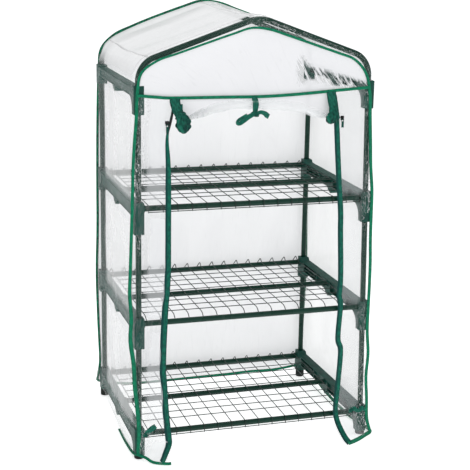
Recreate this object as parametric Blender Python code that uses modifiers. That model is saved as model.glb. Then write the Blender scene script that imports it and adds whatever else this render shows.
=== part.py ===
"""A small three-tier greenhouse: moulded side brackets, push-fit steel tubes, wire shelves and a zipped cover.

Metres, +Z up, +X to the right and the doorway facing -Y. The origin is on the floor, under the middle of
the whole outline. Every piece hangs from an empty in the middle of the tube frame, so the places below
are measured from there.
"""

import math

import bmesh
import bpy

# Frame
POST_X = 0.332  # post centres, left and right of the middle
POST_Y = 0.247  # post centres, in front of and behind the middle
FRAME_Y = 0.02456  # the hems reach further forward than back, so the frame stands this far behind the origin
LEVEL_STEP = 0.325
FIRST_LEVEL = 0.0726
LEVELS = [FIRST_LEVEL + LEVEL_STEP * i for i in range(4)]
TUBE_RADIUS = 0.008
TUBE_WALL = 0.0006
TUBE_SIDES = 12
GAP = 0.0003  # between pieces that touch

# Roof line: the tubes climb at this angle from round shoulders to a round apex
ROOF_ANGLE = math.radians(19.6)
RIDGE_Z = 1.229  # where the two straight slopes of the arch tube would meet
SHOULDER_Z = 1.0642  # where the arch tube leaves the vertical
APEX_RADIUS = 0.09

# Side bracket
BRACKET_HALF = 0.014  # half its width across
SOCKET_HALF = 0.0135  # half a socket along the side
BEAM_TOP, BEAM_BOTTOM = 0.010, -0.024  # from the tube centres
SOCKET_TOP = 0.018
SOCKET_CHAMFER = 0.008
FRONT_REACH, REAR_REACH, FOOT_REACH = 0.070, 0.050, 0.062  # how far a socket hangs below the tube centres
FRONT_GUSSET, FRONT_GUSSET_Z = 0.036, -0.060  # radius of the curved web under the beam, and where it starts
REAR_GUSSET, REAR_GUSSET_Z = 0.021, -0.045
LUG = [(-0.016, BEAM_BOTTOM), (-0.012, -0.038), (-0.003, -0.040), (0.010, -0.034), (0.022, BEAM_BOTTOM)]
POCKETS = {"front": (-0.190, -0.024), "rear": (0.030, 0.205)}  # hollows on the inner face, along the beam
SKIN = 0.003  # moulded wall left round a pocket
BORE_RADIUS = 0.0087
BORE_SIDES = 12
STOP_TOP, STOP_BOTTOM = -0.010, -0.014  # the web between the upper and the lower bore
SPIGOT_RADIUS, SPIGOT_LENGTH, SPIGOT_SIDES = 0.0066, 0.022, 10
CUT_PAST = 0.002  # how far a cutter runs past the face it cuts, and a spigot into the face it grows from

# Foot
STEM_RADIUS, STEM_LENGTH = 0.008, 0.025
FOOT_CHAMFER = 0.002
FOOT_SIDES = 16

# Wire shelf
WIRE_RADIUS = 0.00125
CROSS_WIRES, CROSS_PITCH = 16, 0.0408
LONG_WIRES, LONG_PITCH = 9, 0.0475
WIRE_Z = TUBE_RADIUS + GAP + WIRE_RADIUS  # cross wires above the tube centres
LONG_LIFT = 2 * WIRE_RADIUS - 0.0005  # long wires lie on the cross wires and are welded to them
LIP_BOTTOM = -0.011
# Where the front lip is, the radius it is bent to, and how far the rear hooks rise
OUTER_LIP = (POST_Y + TUBE_RADIUS + GAP + WIRE_RADIUS, 0.004, 0.004)
INNER_LIP = (POST_Y - TUBE_RADIUS - GAP - 2 * WIRE_RADIUS, 0.018, 0.007)

# Cover
FILM = 0.0006
WALL_X = 0.348  # side film, clear of the brackets
FACE_Y = 0.263  # front and back film
WALL_END = FACE_Y - FILM / 2 - GAP
FILM_OVER = 0.010  # film above the arch tube's centre line
FILM_RIDGE_Z = RIDGE_Z + FILM_OVER / math.cos(ROOF_ANGLE)
FILM_APEX_RADIUS = APEX_RADIUS + FILM_OVER
FILM_SHOULDER_Z = 1.069
HEM_Z = 0.003
BACK_HEM_Z = 0.022
WALL_TOP = 1.034
EAVES_Z = 1.019
EAVES_HALF = 0.007
STRIP_TOP, GABLE_FOOT = EAVES_Z - 0.002, EAVES_Z + 0.001  # film edges that meet under the eaves binding
EAVES_X, EAVES_THICK = WALL_X - 0.004, 0.0013
FLARE_Z, FLARE_Y = 0.100, 0.318  # below this height the front strips run out to this far forward
FLARE_BOW = 0.022  # how far out they are at half of that height
ZIP_LEFT, ZIP_RIGHT = -0.2585, 0.2475  # tape centres
TAPE_HALF = 0.0055
TAPE_THICK = 0.002
PIPING_RADIUS = 0.003
PIPING_OUT = 0.0037
FRONT_PIPING_Z, REAR_PIPING_Z = 0.110, 0.030

# Rolled door, its straps and the zip sliders
SEAM_Y, SEAM_Z = -0.2690, 1.0135  # the line the rolled door swings about
ROLL_Y = -0.2860
ROLL_RADIUS = 0.013
ROLL_PATH = [  # (x, z) of the roll's centre line
    (-0.240, 0.962),
    (-0.165, 0.977),
    (-0.085, 0.988),
    (-0.012, 0.992),
    (0.075, 0.987),
    (0.230, 0.960),
]
STRAPS = {  # (x, width)
    "door_strap_left": (-0.234, 0.027),
    "door_strap_right": (0.205, 0.027),
    "door_tie_centre": (-0.012, 0.014),
}
STRAP_CLEAR, STRAP_THICK = 0.0032, 0.0015
PINCH_OUTER, PINCH_INNER = 0.0022, 0.0008  # radii of a strap's loop at the seam
SLIDER_Z = 0.955
SLIDER_SIZE = (0.011, 0.005, 0.012)
RING_BACK, RING_FRONT, RING_HALF = 0.001, -0.0060, 0.005  # the ring on the slider's face
RING_BAR = 0.0016
PULL_HALF, PULL_LENGTH, PULL_THICK = 0.0036, 0.024, 0.0012
EYE_HALF, EYE_TOP, EYE_BOTTOM = 0.0020, -0.0008, -0.0070
PULL_OUT, PULL_DROP = 0.00245, 0.0018  # the tab's pivot, from the slider's front face and middle

ROOT = None
PARTS = None
CUTTERS = None


def material(name, colour, roughness, metallic=0.0, alpha=1.0):
    made = bpy.data.materials.new(name)
    made.use_nodes = True
    shader = made.node_tree.nodes["Principled BSDF"]
    shader.inputs["Base Color"].default_value = (*colour, 1.0)
    shader.inputs["Roughness"].default_value = roughness
    shader.inputs["Metallic"].default_value = metallic
    shader.inputs["Alpha"].default_value = alpha
    return made


def add(name, data, mat=None, place=(0, 0, 0), turn=(0, 0, 0), parent=None, collection=None):
    obj = bpy.data.objects.new(name, data)
    (collection or PARTS).objects.link(obj)
    obj.parent = parent or ROOT
    obj.location = place
    obj.rotation_euler = turn
    if mat and not data.materials:
        data.materials.append(mat)
    return obj


def empty(name, place, parent=None):
    obj = bpy.data.objects.new(name, None)
    PARTS.objects.link(obj)
    obj.parent = parent or ROOT
    obj.location = place
    return obj


def poly_curve(name, runs, closed=False):
    """A curve of straight runs. Each run is a list of (x, y) or (x, y, z) points."""
    curve = bpy.data.curves.new(name, "CURVE")
    curve.dimensions = "3D"
    for run in runs:
        spline = curve.splines.new("POLY")
        spline.points.add(len(run) - 1)
        for point, place in zip(spline.points, run):
            point.co = (*place, 1.0) if len(place) == 3 else (*place, 0.0, 1.0)
        spline.use_cyclic_u = closed
    return curve


def rod(name, runs, radius, sides, mat, parent=None):
    """A solid wire or piping with filled ends."""
    curve = poly_curve(name, runs)
    curve.bevel_depth = radius
    curve.bevel_resolution = (sides - 4) // 2
    curve.use_fill_caps = True
    return add(name, curve, mat, parent=parent)


def tube(name, points, mat):
    """A hollow tube with open ends."""
    curve = poly_curve(name, [points])
    curve.bevel_depth = TUBE_RADIUS
    curve.bevel_resolution = (TUBE_SIDES - 4) // 2
    obj = add(name, curve, mat)
    wall = obj.modifiers.new("wall", "SOLIDIFY")
    wall.thickness = TUBE_WALL
    wall.offset = -1.0
    return obj


UPRIGHT_XZ = (math.pi / 2, 0, 0)  # turns an outline drawn in X and Y to stand in X and Z
UPRIGHT_YZ = (math.pi / 2, 0, math.pi / 2)  # and this one to stand in Y and Z


def plate(name, outlines, thickness, mat, place, turn, parent=None, collection=None):
    """A flat outline, with any holes as further outlines, given a thickness."""
    curve = poly_curve(name, outlines, closed=True)
    curve.dimensions = "2D"
    curve.fill_mode = "BOTH"
    curve.extrude = thickness / 2
    return add(name, curve, mat, place, turn, parent, collection)


def ribbon(name, outline, depth, thickness, mat, place, turn):
    """An open line drawn in X and Y, drawn out to a depth and given a thickness."""
    curve = poly_curve(name, [outline])
    curve.extrude = depth / 2
    obj = add(name, curve, mat, place, turn)
    skin = obj.modifiers.new("skin", "SOLIDIFY")
    skin.thickness = thickness
    skin.offset = 0.0
    return obj


def box(name, low, high, mat=None, parent=None, collection=None):
    mesh = bpy.data.meshes.new(name)
    bm = bmesh.new()
    bmesh.ops.create_cube(bm, size=1.0)
    size = [b - a for a, b in zip(low, high)]
    middle = [(a + b) / 2 for a, b in zip(low, high)]
    bmesh.ops.scale(bm, vec=size, verts=bm.verts)
    bmesh.ops.translate(bm, vec=middle, verts=bm.verts)
    bm.to_mesh(mesh)
    bm.free()
    return add(name, mesh, mat, parent=parent, collection=collection)


def cylinder(name, radius, sides, length, place, turn=(0, 0, 0), collection=None):
    mesh = bpy.data.meshes.new(name)
    bm = bmesh.new()
    bmesh.ops.create_cone(bm, cap_ends=True, segments=sides, radius1=radius, radius2=radius, depth=length)
    bm.to_mesh(mesh)
    bm.free()
    return add(name, mesh, None, place, turn, collection=collection)


def as_mesh(obj):
    """The object made a mesh at the frame's middle, its caps welded, so that a Boolean can cut or join it."""
    bpy.context.view_layer.update()
    graph = bpy.context.evaluated_depsgraph_get()
    mesh = bpy.data.meshes.new_from_object(obj.evaluated_get(graph))
    mesh.transform(ROOT.matrix_world.inverted() @ obj.matrix_world)
    bm = bmesh.new()
    bm.from_mesh(mesh)
    bmesh.ops.remove_doubles(bm, verts=bm.verts, dist=0.00001)
    bmesh.ops.recalc_face_normals(bm, faces=bm.faces)
    bm.to_mesh(mesh)
    bm.free()
    name, collection = obj.name, obj.users_collection[0]
    bpy.data.objects.remove(obj)
    return add(name, mesh, collection=collection)


def rectangle(left, right, low, high):
    """A rectangle's corners as an outline."""
    return [(left, high), (right, high), (right, low), (left, low)]


def combine(obj, other, operation):
    step = obj.modifiers.new(other.name, "BOOLEAN")
    step.operation = operation
    step.solver = "EXACT"
    step.object = other
    other.hide_render = True
    other.display_type = "WIRE"


def arc(centre, radius, start, end, steps):
    """Points on a circle, angles in degrees, both ends included."""
    angles = [math.radians(start + (end - start) * i / steps) for i in range(steps + 1)]
    return [(centre[0] + radius * math.cos(a), centre[1] + radius * math.sin(a)) for a in angles]


def roof_line(half_width, foot_z, shoulder_z, ridge_z, apex_radius):
    """(x, z) points up one side, over the shoulder, the slope and the apex, and down the other side."""
    sine, cosine = math.sin(ROOF_ANGLE), math.cos(ROOF_ANGLE)
    shoulder = ((ridge_z - shoulder_z) * cosine - half_width * sine) / (1 - sine)
    lean = math.degrees(ROOF_ANGLE)
    left = [(-half_width, foot_z)] if foot_z < shoulder_z else []
    left += arc((shoulder - half_width, shoulder_z), shoulder, 180, 90 + lean, 5)
    apex = arc((0, ridge_z - apex_radius / cosine), apex_radius, 90 + lean, 90, 2)
    left += apex
    return left + [(-x, z) for x, z in reversed(left[:-1])]


def side_bracket(name, side, level, front_reach, rear_reach, mat):
    """A moulded beam from front post to rear post, with a socket at each end and a lug in the middle."""
    front, rear = -POST_Y, POST_Y
    front_arc = arc((front + SOCKET_HALF + FRONT_GUSSET, FRONT_GUSSET_Z), FRONT_GUSSET, 180, 90, 5)
    rear_arc = arc((rear - SOCKET_HALF - REAR_GUSSET, REAR_GUSSET_Z), REAR_GUSSET, 90, 0, 4)
    outline = [(front - SOCKET_HALF, -front_reach), (front + SOCKET_HALF, -front_reach)]
    outline += front_arc + LUG + rear_arc
    outline += [(rear - SOCKET_HALF, -rear_reach), (rear + SOCKET_HALF, -rear_reach)]
    outline += [(rear + SOCKET_HALF, SOCKET_TOP), (rear - SOCKET_HALF, SOCKET_TOP)]
    outline += [(rear - SOCKET_HALF - SOCKET_CHAMFER, BEAM_TOP)]
    outline += [(front + SOCKET_HALF + SOCKET_CHAMFER, BEAM_TOP)]
    outline += [(front + SOCKET_HALF, SOCKET_TOP), (front - SOCKET_HALF, SOCKET_TOP)]
    x, z = side * POST_X, LEVELS[level]
    body = as_mesh(plate(name, [outline], 2 * BRACKET_HALF, mat, (x, 0, z), UPRIGHT_YZ))

    inner, outer = x - side * (BRACKET_HALF + CUT_PAST / 2), x + side * (BRACKET_HALF - SKIN)
    for label, (near, far) in POCKETS.items():
        low = (min(inner, outer), near, z + BEAM_BOTTOM + SKIN)
        high = (max(inner, outer), far, z + BEAM_TOP - SKIN)
        combine(body, box(f"{name}_pocket_{label}", low, high, collection=CUTTERS), "DIFFERENCE")
    for label, y, reach in (("front", front, front_reach), ("rear", rear, rear_reach)):
        spans = (("top", STOP_TOP, SOCKET_TOP + CUT_PAST), ("foot", -reach - CUT_PAST, STOP_BOTTOM))
        for part, low, high in spans:
            place = (x, y, z + (low + high) / 2)
            cutter = f"{name}_bore_{label}_{part}"
            bore = cylinder(cutter, BORE_RADIUS, BORE_SIDES, high - low, place, collection=CUTTERS)
            combine(body, bore, "DIFFERENCE")
    if level < 3:
        for label, y in (("front", front), ("middle", 0.0), ("rear", rear)):
            add_spigot(body, f"{name}_spigot_{label}", side, y, z)
    return body


def add_spigot(body, name, side, y, z):
    """A stub on the bracket's inner face that a shelf tube slides over."""
    length = SPIGOT_LENGTH + CUT_PAST
    place = (side * (POST_X - BRACKET_HALF + CUT_PAST - length / 2), y, z)
    across = (0, math.pi / 2, 0)
    spigot = cylinder(name, SPIGOT_RADIUS, SPIGOT_SIDES, length, place, across, CUTTERS)
    combine(body, spigot, "UNION")


def foot(name, x, y, height, mat):
    """A turned rubber foot with a stem that plugs into the lowest socket."""
    stem_top = height + STEM_LENGTH
    profile = [(0, stem_top), (STEM_RADIUS, stem_top), (STEM_RADIUS, height), (BRACKET_HALF, height)]
    profile += [(BRACKET_HALF, FOOT_CHAMFER), (BRACKET_HALF - FOOT_CHAMFER, 0), (0, 0)]
    mesh = bpy.data.meshes.new(name)
    mesh.from_pydata([(r, 0, z) for r, z in profile], [(i, i + 1) for i in range(len(profile) - 1)], [])
    obj = add(name, mesh, mat, (x, y, 0))
    turn = obj.modifiers.new("turn", "SCREW")
    turn.steps = turn.render_steps = FOOT_SIDES
    turn.use_merge_vertices = True
    turn.merge_threshold = 0.00005
    return obj


def frame(tube_mat, bracket_mat, rubber_mat):
    for side, side_name in ((-1, "left"), (1, "right")):
        for level in range(4):
            reach = (FOOT_REACH if level == 0 else FRONT_REACH, REAR_REACH)
            side_bracket(f"bracket_{side_name}_{level + 1}", side, level, *reach, bracket_mat)
        for y, end, reach in ((-POST_Y, "front", FOOT_REACH), (POST_Y, "rear", REAR_REACH)):
            for level in range(3):
                low = LEVELS[level] + STOP_TOP + GAP
                high = LEVELS[level + 1] + STOP_BOTTOM - GAP
                x = side * POST_X
                tube(f"post_{end}_{side_name}_{level + 1}", [(x, y, low), (x, y, high)], tube_mat)
            foot(f"foot_{end}_{side_name}", side * POST_X, y, LEVELS[0] - reach - GAP, rubber_mat)
    inner = POST_X - BRACKET_HALF - GAP
    for level in range(3):
        for y, end in ((-POST_Y, "front"), (0.0, "middle"), (POST_Y, "rear")):
            z = LEVELS[level]
            tube(f"shelf_tube_{end}_{level + 1}", [(-inner, y, z), (inner, y, z)], tube_mat)
    for y, end in ((-POST_Y, "front"), (POST_Y, "rear")):
        line = roof_line(POST_X, LEVELS[3] + STOP_TOP + GAP, SHOULDER_Z, RIDGE_Z, APEX_RADIUS)
        tube(f"roof_arch_{end}", [(x, y, z) for x, z in line], tube_mat)


def wire_shelf(name, level, lip, mat):
    """A welded grid. Its cross wires turn down at the front and hook over the rear tube."""
    lip_y, bend, hook_rise = lip
    z = LEVELS[level] + WIRE_Z
    hook_y = POST_Y + TUBE_RADIUS + GAP + WIRE_RADIUS
    side = arc((-lip_y + bend, z - bend), bend, 180, 90, 3)
    side = [(-lip_y, LEVELS[level] + LIP_BOTTOM)] + side
    side += [(POST_Y - 0.014, z), (POST_Y - 0.002, z + hook_rise), (hook_y, z - 0.004), (hook_y, z - 0.010)]
    columns = [CROSS_PITCH * (i - (CROSS_WIRES - 1) / 2) for i in range(CROSS_WIRES)]
    cross = as_mesh(rod(name, [[(x, y, h) for y, h in side] for x in columns], WIRE_RADIUS, 4, mat))
    half = columns[-1] + WIRE_RADIUS
    rows = [0.003 + LONG_PITCH * (i - (LONG_WIRES - 1) / 2) for i in range(LONG_WIRES)]
    runs = [[(-half, y, z + LONG_LIFT), (half, y, z + LONG_LIFT)] for y in rows]
    front_z = LEVELS[level] + LIP_BOTTOM + WIRE_RADIUS
    runs.append([(-half, -lip_y + LONG_LIFT, front_z), (half, -lip_y + LONG_LIFT, front_z)])
    rows_obj = as_mesh(rod(f"{name}_rows", runs, WIRE_RADIUS, 4, mat))
    CUTTERS.objects.link(rows_obj)
    PARTS.objects.unlink(rows_obj)
    combine(cross, rows_obj, "UNION")
    return cross


def cover_line(inset, foot_z=WALL_TOP):
    """The film's roof line, moved inward by inset."""
    ridge_z = FILM_RIDGE_Z - inset / math.cos(ROOF_ANGLE)
    return roof_line(WALL_X - inset, foot_z, FILM_SHOULDER_Z, ridge_z, FILM_APEX_RADIUS - inset)


def strip_profile():
    """(y, z) of the front film beside the doorway: straight down, then out to the hem."""
    flare = [(-FLARE_Y, HEM_Z), (-FACE_Y - FLARE_BOW, FLARE_Z / 2), (-FACE_Y, FLARE_Z)]
    return flare + [(-FACE_Y, STRIP_TOP)]


def cover(film_mat, binding_mat, tape_mat):
    for side, side_name in ((-1, "left"), (1, "right")):
        x = side * WALL_X
        low, high = (x - FILM / 2, -WALL_END, HEM_Z), (x + FILM / 2, WALL_END, WALL_TOP)
        box(f"wall_{side_name}", low, high, film_mat)
        whole = cover_line(0.0, WALL_TOP + GAP)
        line = [p for p in whole if p[0] * side > GAP]
        apex = (side * GAP, whole[len(whole) // 2][1])
        line = line + [apex] if side < 0 else [apex] + line
        ribbon(f"roof_{side_name}", line, 2 * WALL_END, FILM, film_mat, (0, 0, 0), UPRIGHT_XZ)

        tape_x = ZIP_LEFT if side < 0 else ZIP_RIGHT
        near, far = abs(tape_x) + TAPE_HALF + GAP, WALL_X - FILM / 2 - GAP
        middle = side * (near + far) / 2
        strip, tape = f"front_strip_{side_name}", f"zip_tape_{side_name}"
        ribbon(strip, strip_profile(), far - near, FILM, film_mat, (middle, 0, 0), UPRIGHT_YZ)
        ribbon(tape, strip_profile(), 2 * TAPE_HALF, TAPE_THICK, tape_mat, (tape_x, 0, 0), UPRIGHT_YZ)

    inset = FILM / 2 + GAP
    half, roof = WALL_X - inset, cover_line(inset)[1:-1]
    back = [(-half, BACK_HEM_Z)] + roof + [(half, BACK_HEM_Z)]
    plate("back_panel", [back], FILM, film_mat, (0, FACE_Y, 0), UPRIGHT_XZ)
    gable = [(-half, GABLE_FOOT)] + roof + [(half, GABLE_FOOT)]
    plate("front_gable", [gable], FILM, film_mat, (0, -FACE_Y, 0), UPRIGHT_XZ)

    for end, sign, foot_z in (("front", -1, FRONT_PIPING_Z), ("rear", 1, REAR_PIPING_Z)):
        y = sign * (FACE_Y + PIPING_OUT)
        run = [(x, y, z) for x, z in cover_line(-PIPING_OUT, foot_z)]
        rod(f"{end}_binding", [run], PIPING_RADIUS, 8, binding_mat)
    tape_face = -FACE_Y - TAPE_THICK / 2 - GAP
    low = (-EAVES_X, tape_face - EAVES_THICK, EAVES_Z - EAVES_HALF)
    high = (EAVES_X, tape_face, EAVES_Z + EAVES_HALF)
    box("eaves_binding", low, high, binding_mat)


def door(film_mat, tape_mat):
    """The door film, rolled up under the eaves and held by two straps and a tied ribbon."""
    seam = empty("door_seam", (0, SEAM_Y, SEAM_Z))
    path = [(x, ROLL_Y - SEAM_Y, z - SEAM_Z) for x, z in ROLL_PATH]
    rod("door_roll", [path], ROLL_RADIUS, 12, film_mat, seam)
    for name, (x, width) in STRAPS.items():
        z = roll_height(x)
        centre = (ROLL_Y - SEAM_Y, z - SEAM_Z)
        inner_radius = ROLL_RADIUS + STRAP_CLEAR
        outer = strap_outline(centre, inner_radius + STRAP_THICK, PINCH_OUTER)
        inner = strap_outline(centre, inner_radius, PINCH_INNER)
        plate(name, [outer, inner], width, tape_mat, (x, 0, 0), UPRIGHT_YZ, seam)


def roll_height(x):
    for (x0, z0), (x1, z1) in zip(ROLL_PATH, ROLL_PATH[1:]):
        if x <= x1:
            return z0 + (z1 - z0) * (x - x0) / (x1 - x0)
    return ROLL_PATH[-1][1]


def strap_outline(centre, big, small):
    """A loop in Y and Z: round the roll at centre, and narrow at the seam, which is the loop's own origin."""
    distance = math.hypot(*centre)
    heading = math.degrees(math.atan2(centre[1], centre[0]))
    open_angle = math.degrees(math.acos((big - small) / distance))
    around = arc(centre, big, heading + 180 - open_angle, heading - 180 + open_angle, 12)
    pinch = arc((0, 0), small, heading - 180 + open_angle, heading - 180 - open_angle, 3)
    return around + pinch


def zip_slider(side_name, x, metal_mat, pull_mat):
    """A slider in front of its tape, with a ring that its pull tab hangs in."""
    width, depth, height = SLIDER_SIZE
    back = -FACE_Y - TAPE_THICK / 2 - GAP
    front = back - depth
    low, high = (x - width / 2, front, SLIDER_Z - height / 2), (x + width / 2, back, SLIDER_Z + height / 2)
    body = box(f"zip_slider_{side_name}", low, high, metal_mat)
    loop = rectangle(RING_FRONT, RING_BACK, -RING_HALF, RING_HALF)
    inside = RING_HALF - RING_BAR
    hole = rectangle(RING_FRONT + RING_BAR - 0.0001, -0.0004, -inside, inside)
    name, place = f"zip_slider_{side_name}_ring", (x, front, SLIDER_Z)
    ring = as_mesh(plate(name, [loop, hole], RING_BAR, metal_mat, place, UPRIGHT_YZ, collection=CUTTERS))
    combine(body, ring, "UNION")
    pivot = (x, front - PULL_OUT, SLIDER_Z - PULL_DROP)
    outline = rectangle(-PULL_HALF, PULL_HALF, -PULL_LENGTH, -EYE_TOP)
    eye = rectangle(-EYE_HALF, EYE_HALF, EYE_BOTTOM, EYE_TOP)
    plate(f"zip_pull_{side_name}", [outline, eye], PULL_THICK, pull_mat, pivot, UPRIGHT_XZ)


def main():
    global ROOT, PARTS, CUTTERS
    for obj in list(bpy.data.objects):
        bpy.data.objects.remove(obj)
    PARTS = bpy.data.collections.new("greenhouse")
    CUTTERS = bpy.data.collections.new("cutters")
    for collection in (PARTS, CUTTERS):
        bpy.context.scene.collection.children.link(collection)
    CUTTERS.hide_render = True
    ROOT = bpy.data.objects.new("frame_middle", None)
    PARTS.objects.link(ROOT)
    ROOT.location = (0, FRAME_Y, 0)

    tube_mat = material("green_tube", (0.010, 0.050, 0.034), 0.35)
    bracket_mat = material("green_moulding", (0.045, 0.095, 0.078), 0.5)
    rubber_mat = material("black_rubber", (0.012, 0.012, 0.012), 0.7)
    wire_mat = material("green_wire", (0.030, 0.050, 0.042), 0.4)
    film_mat = material("clear_film", (0.86, 0.87, 0.88), 0.15, alpha=0.3)
    binding_mat = material("green_binding", (0.006, 0.190, 0.095), 0.6)
    tape_mat = material("green_tape", (0.004, 0.110, 0.070), 0.65)
    metal_mat = material("zip_metal", (0.02, 0.02, 0.02), 0.35, 1.0)

    frame(tube_mat, bracket_mat, rubber_mat)
    for level, (tier, lip) in enumerate((("lower", OUTER_LIP), ("middle", INNER_LIP), ("upper", OUTER_LIP))):
        wire_shelf(f"wire_shelf_{tier}", level, lip, wire_mat)
    cover(film_mat, binding_mat, tape_mat)
    door(film_mat, tape_mat)
    zip_slider("left", ZIP_LEFT, metal_mat, tape_mat)
    zip_slider("right", ZIP_RIGHT, metal_mat, tape_mat)


main()
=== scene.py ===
"""The looks of a small three-tier greenhouse.

It has a green tube frame, moulded side brackets, wire shelves and a zipped cover of clear film, with its
door rolled up under the eaves.
"""

import math
import random

import bpy
from mathutils import Euler, Matrix, Vector, noise


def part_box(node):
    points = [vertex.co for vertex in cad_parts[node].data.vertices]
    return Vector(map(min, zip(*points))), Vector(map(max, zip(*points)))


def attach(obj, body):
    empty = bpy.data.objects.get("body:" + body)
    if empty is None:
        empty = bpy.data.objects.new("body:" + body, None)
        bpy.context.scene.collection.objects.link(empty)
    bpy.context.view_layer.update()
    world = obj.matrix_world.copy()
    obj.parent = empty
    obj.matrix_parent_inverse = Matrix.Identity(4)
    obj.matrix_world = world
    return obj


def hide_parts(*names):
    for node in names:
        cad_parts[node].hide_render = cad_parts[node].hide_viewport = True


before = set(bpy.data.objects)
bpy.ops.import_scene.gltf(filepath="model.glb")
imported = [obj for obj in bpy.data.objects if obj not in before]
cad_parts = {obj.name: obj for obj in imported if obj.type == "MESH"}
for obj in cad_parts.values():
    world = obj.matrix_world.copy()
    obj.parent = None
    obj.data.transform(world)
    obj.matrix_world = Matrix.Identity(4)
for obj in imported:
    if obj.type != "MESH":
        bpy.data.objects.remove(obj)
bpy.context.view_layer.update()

# ---------------------------------------------------------------- places, from the frame


def middle(node):
    low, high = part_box(node)
    return (low + high) / 2


POST_X = middle("post_front_right_1").x
FRONT_Y = middle("post_front_right_1").y
REAR_Y = middle("post_rear_right_1").y
MIDDLE_Y = (FRONT_Y + REAR_Y) / 2
HALF_DEPTH = (REAR_Y - FRONT_Y) / 2
LEVELS = [middle(f"shelf_tube_front_{i}").z for i in (1, 2, 3)]
LEVELS.append(2 * LEVELS[2] - LEVELS[1])
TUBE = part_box("shelf_tube_front_1")[1].z - LEVELS[0]
SIDES = (("left", -1), ("right", 1))
ENDS = (("front", FRONT_Y), ("rear", REAR_Y))


# The push-fit frame stands a little out of square: its front right post leans in towards the top.
LEAN_FOOT, LEAN_RISE = 0.01, -0.021


def lean(z):
    """How far to the right the front right post stands of its nominal place at height z."""
    return LEAN_FOOT + LEAN_RISE * z


def at(x, y, z):
    """A place given from the middle of the tube frame, on the floor."""
    return Vector((x, y + MIDDLE_Y, z))


# ---------------------------------------------------------------- shader groups and materials


BLACK, WHITE = (0, 0, 0, 1), (1, 1, 1, 1)


def new_group(name, inputs, outputs):
    """A shader node group with float, vector or colour sockets, and those sockets as seen from inside."""
    kinds = {"f": "NodeSocketFloat", "v": "NodeSocketVector", "c": "NodeSocketColor"}
    tree = bpy.data.node_groups.new(name, "ShaderNodeTree")
    for label, kind, value in inputs:
        made = tree.interface.new_socket(name=label, in_out="INPUT", socket_type=kinds[kind])
        if value is not None:
            made.default_value = value
    for label, kind in outputs:
        tree.interface.new_socket(name=label, in_out="OUTPUT", socket_type=kinds[kind])
    return tree, tree.nodes.new("NodeGroupInput").outputs, tree.nodes.new("NodeGroupOutput").inputs


def node(tree, kind, settings=None, **inputs):
    """Adds a shader node. Inputs are values or the output sockets of other nodes."""
    made = tree.nodes.new("ShaderNode" + kind)
    for label, value in (settings or {}).items():
        setattr(made, label, value)
    for label, value in inputs.items():
        key = int(label[1:]) if label[0] == "_" and label[1:].isdigit() else label.replace("_", " ")
        socket = made.inputs[key]
        if isinstance(value, bpy.types.NodeSocket):
            tree.links.new(value, socket)
        else:
            socket.default_value = value
    return made


def maths(tree, operation, a, b=0.5, c=0.0, clamp=False):
    made = node(tree, "Math", {"operation": operation, "use_clamp": clamp}, _0=a, _1=b, _2=c)
    return made.outputs[0]


def times(tree, a, b, clamp=False):
    return maths(tree, "MULTIPLY", a, b, clamp=clamp)


def spread(tree, value, low, high, to_low=0.0, to_high=1.0, smooth=True):
    """Maps low to high onto to_low to to_high, and holds the ends beyond them."""
    kind = {"interpolation_type": "SMOOTHSTEP" if smooth else "LINEAR"}
    return node(tree, "MapRange", kind, _0=value, _1=low, _2=high, _3=to_low, _4=to_high).outputs[0]


def mix(tree, factor, a, b):
    made = node(tree, "Mix", {"data_type": "RGBA"}, _0=factor, _6=a, _7=b)
    return made.outputs[2]


def scaled(tree, vector, scale):
    return node(tree, "VectorMath", {"operation": "MULTIPLY"}, _0=vector, _1=scale).outputs[0]


def noise_of(tree, vector, scale, detail=3.0, roughness=0.55, distortion=0.0):
    made = node(tree, "TexNoise", None, Vector=vector, Scale=scale, Detail=detail, Roughness=roughness)
    made.inputs["Distortion"].default_value = distortion
    return made.outputs[0]


def ridge(tree, value, sharp):
    """Thin lines where a noise passes through its middle value."""
    away = maths(tree, "ABSOLUTE", maths(tree, "SUBTRACT", value, 0.5))
    return spread(tree, away, 0.0, sharp, 1.0, 0.0)


def moulded_group():
    """Fine grain, soft mottling and streaky scuffs on a moulding."""
    tree, ins, outs = new_group(
        "moulded grain",
        [("Vector", "v", None), ("Grain", "f", 900.0), ("Dark", "c", BLACK), ("Light", "c", WHITE)],
        [("Colour", "c"), ("Height", "f"), ("Gloss", "f")],
    )
    grain = noise_of(tree, ins["Vector"], ins["Grain"], 2.0)
    mottle = noise_of(tree, ins["Vector"], 34.0, 4.0, 0.6)
    scuffs = noise_of(tree, scaled(tree, ins["Vector"], (240.0, 30.0, 240.0)), 1.0, 3.0, 0.6)
    tone = maths(tree, "MULTIPLY_ADD", scuffs, 0.35, times(tree, mottle, 0.65))
    tree.links.new(mix(tree, spread(tree, tone, 0.35, 0.66), ins["Dark"], ins["Light"]), outs["Colour"])
    tree.links.new(maths(tree, "MULTIPLY_ADD", mottle, 0.4, grain), outs["Height"])
    tree.links.new(spread(tree, scuffs, 0.3, 0.7), outs["Gloss"])
    return tree


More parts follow.
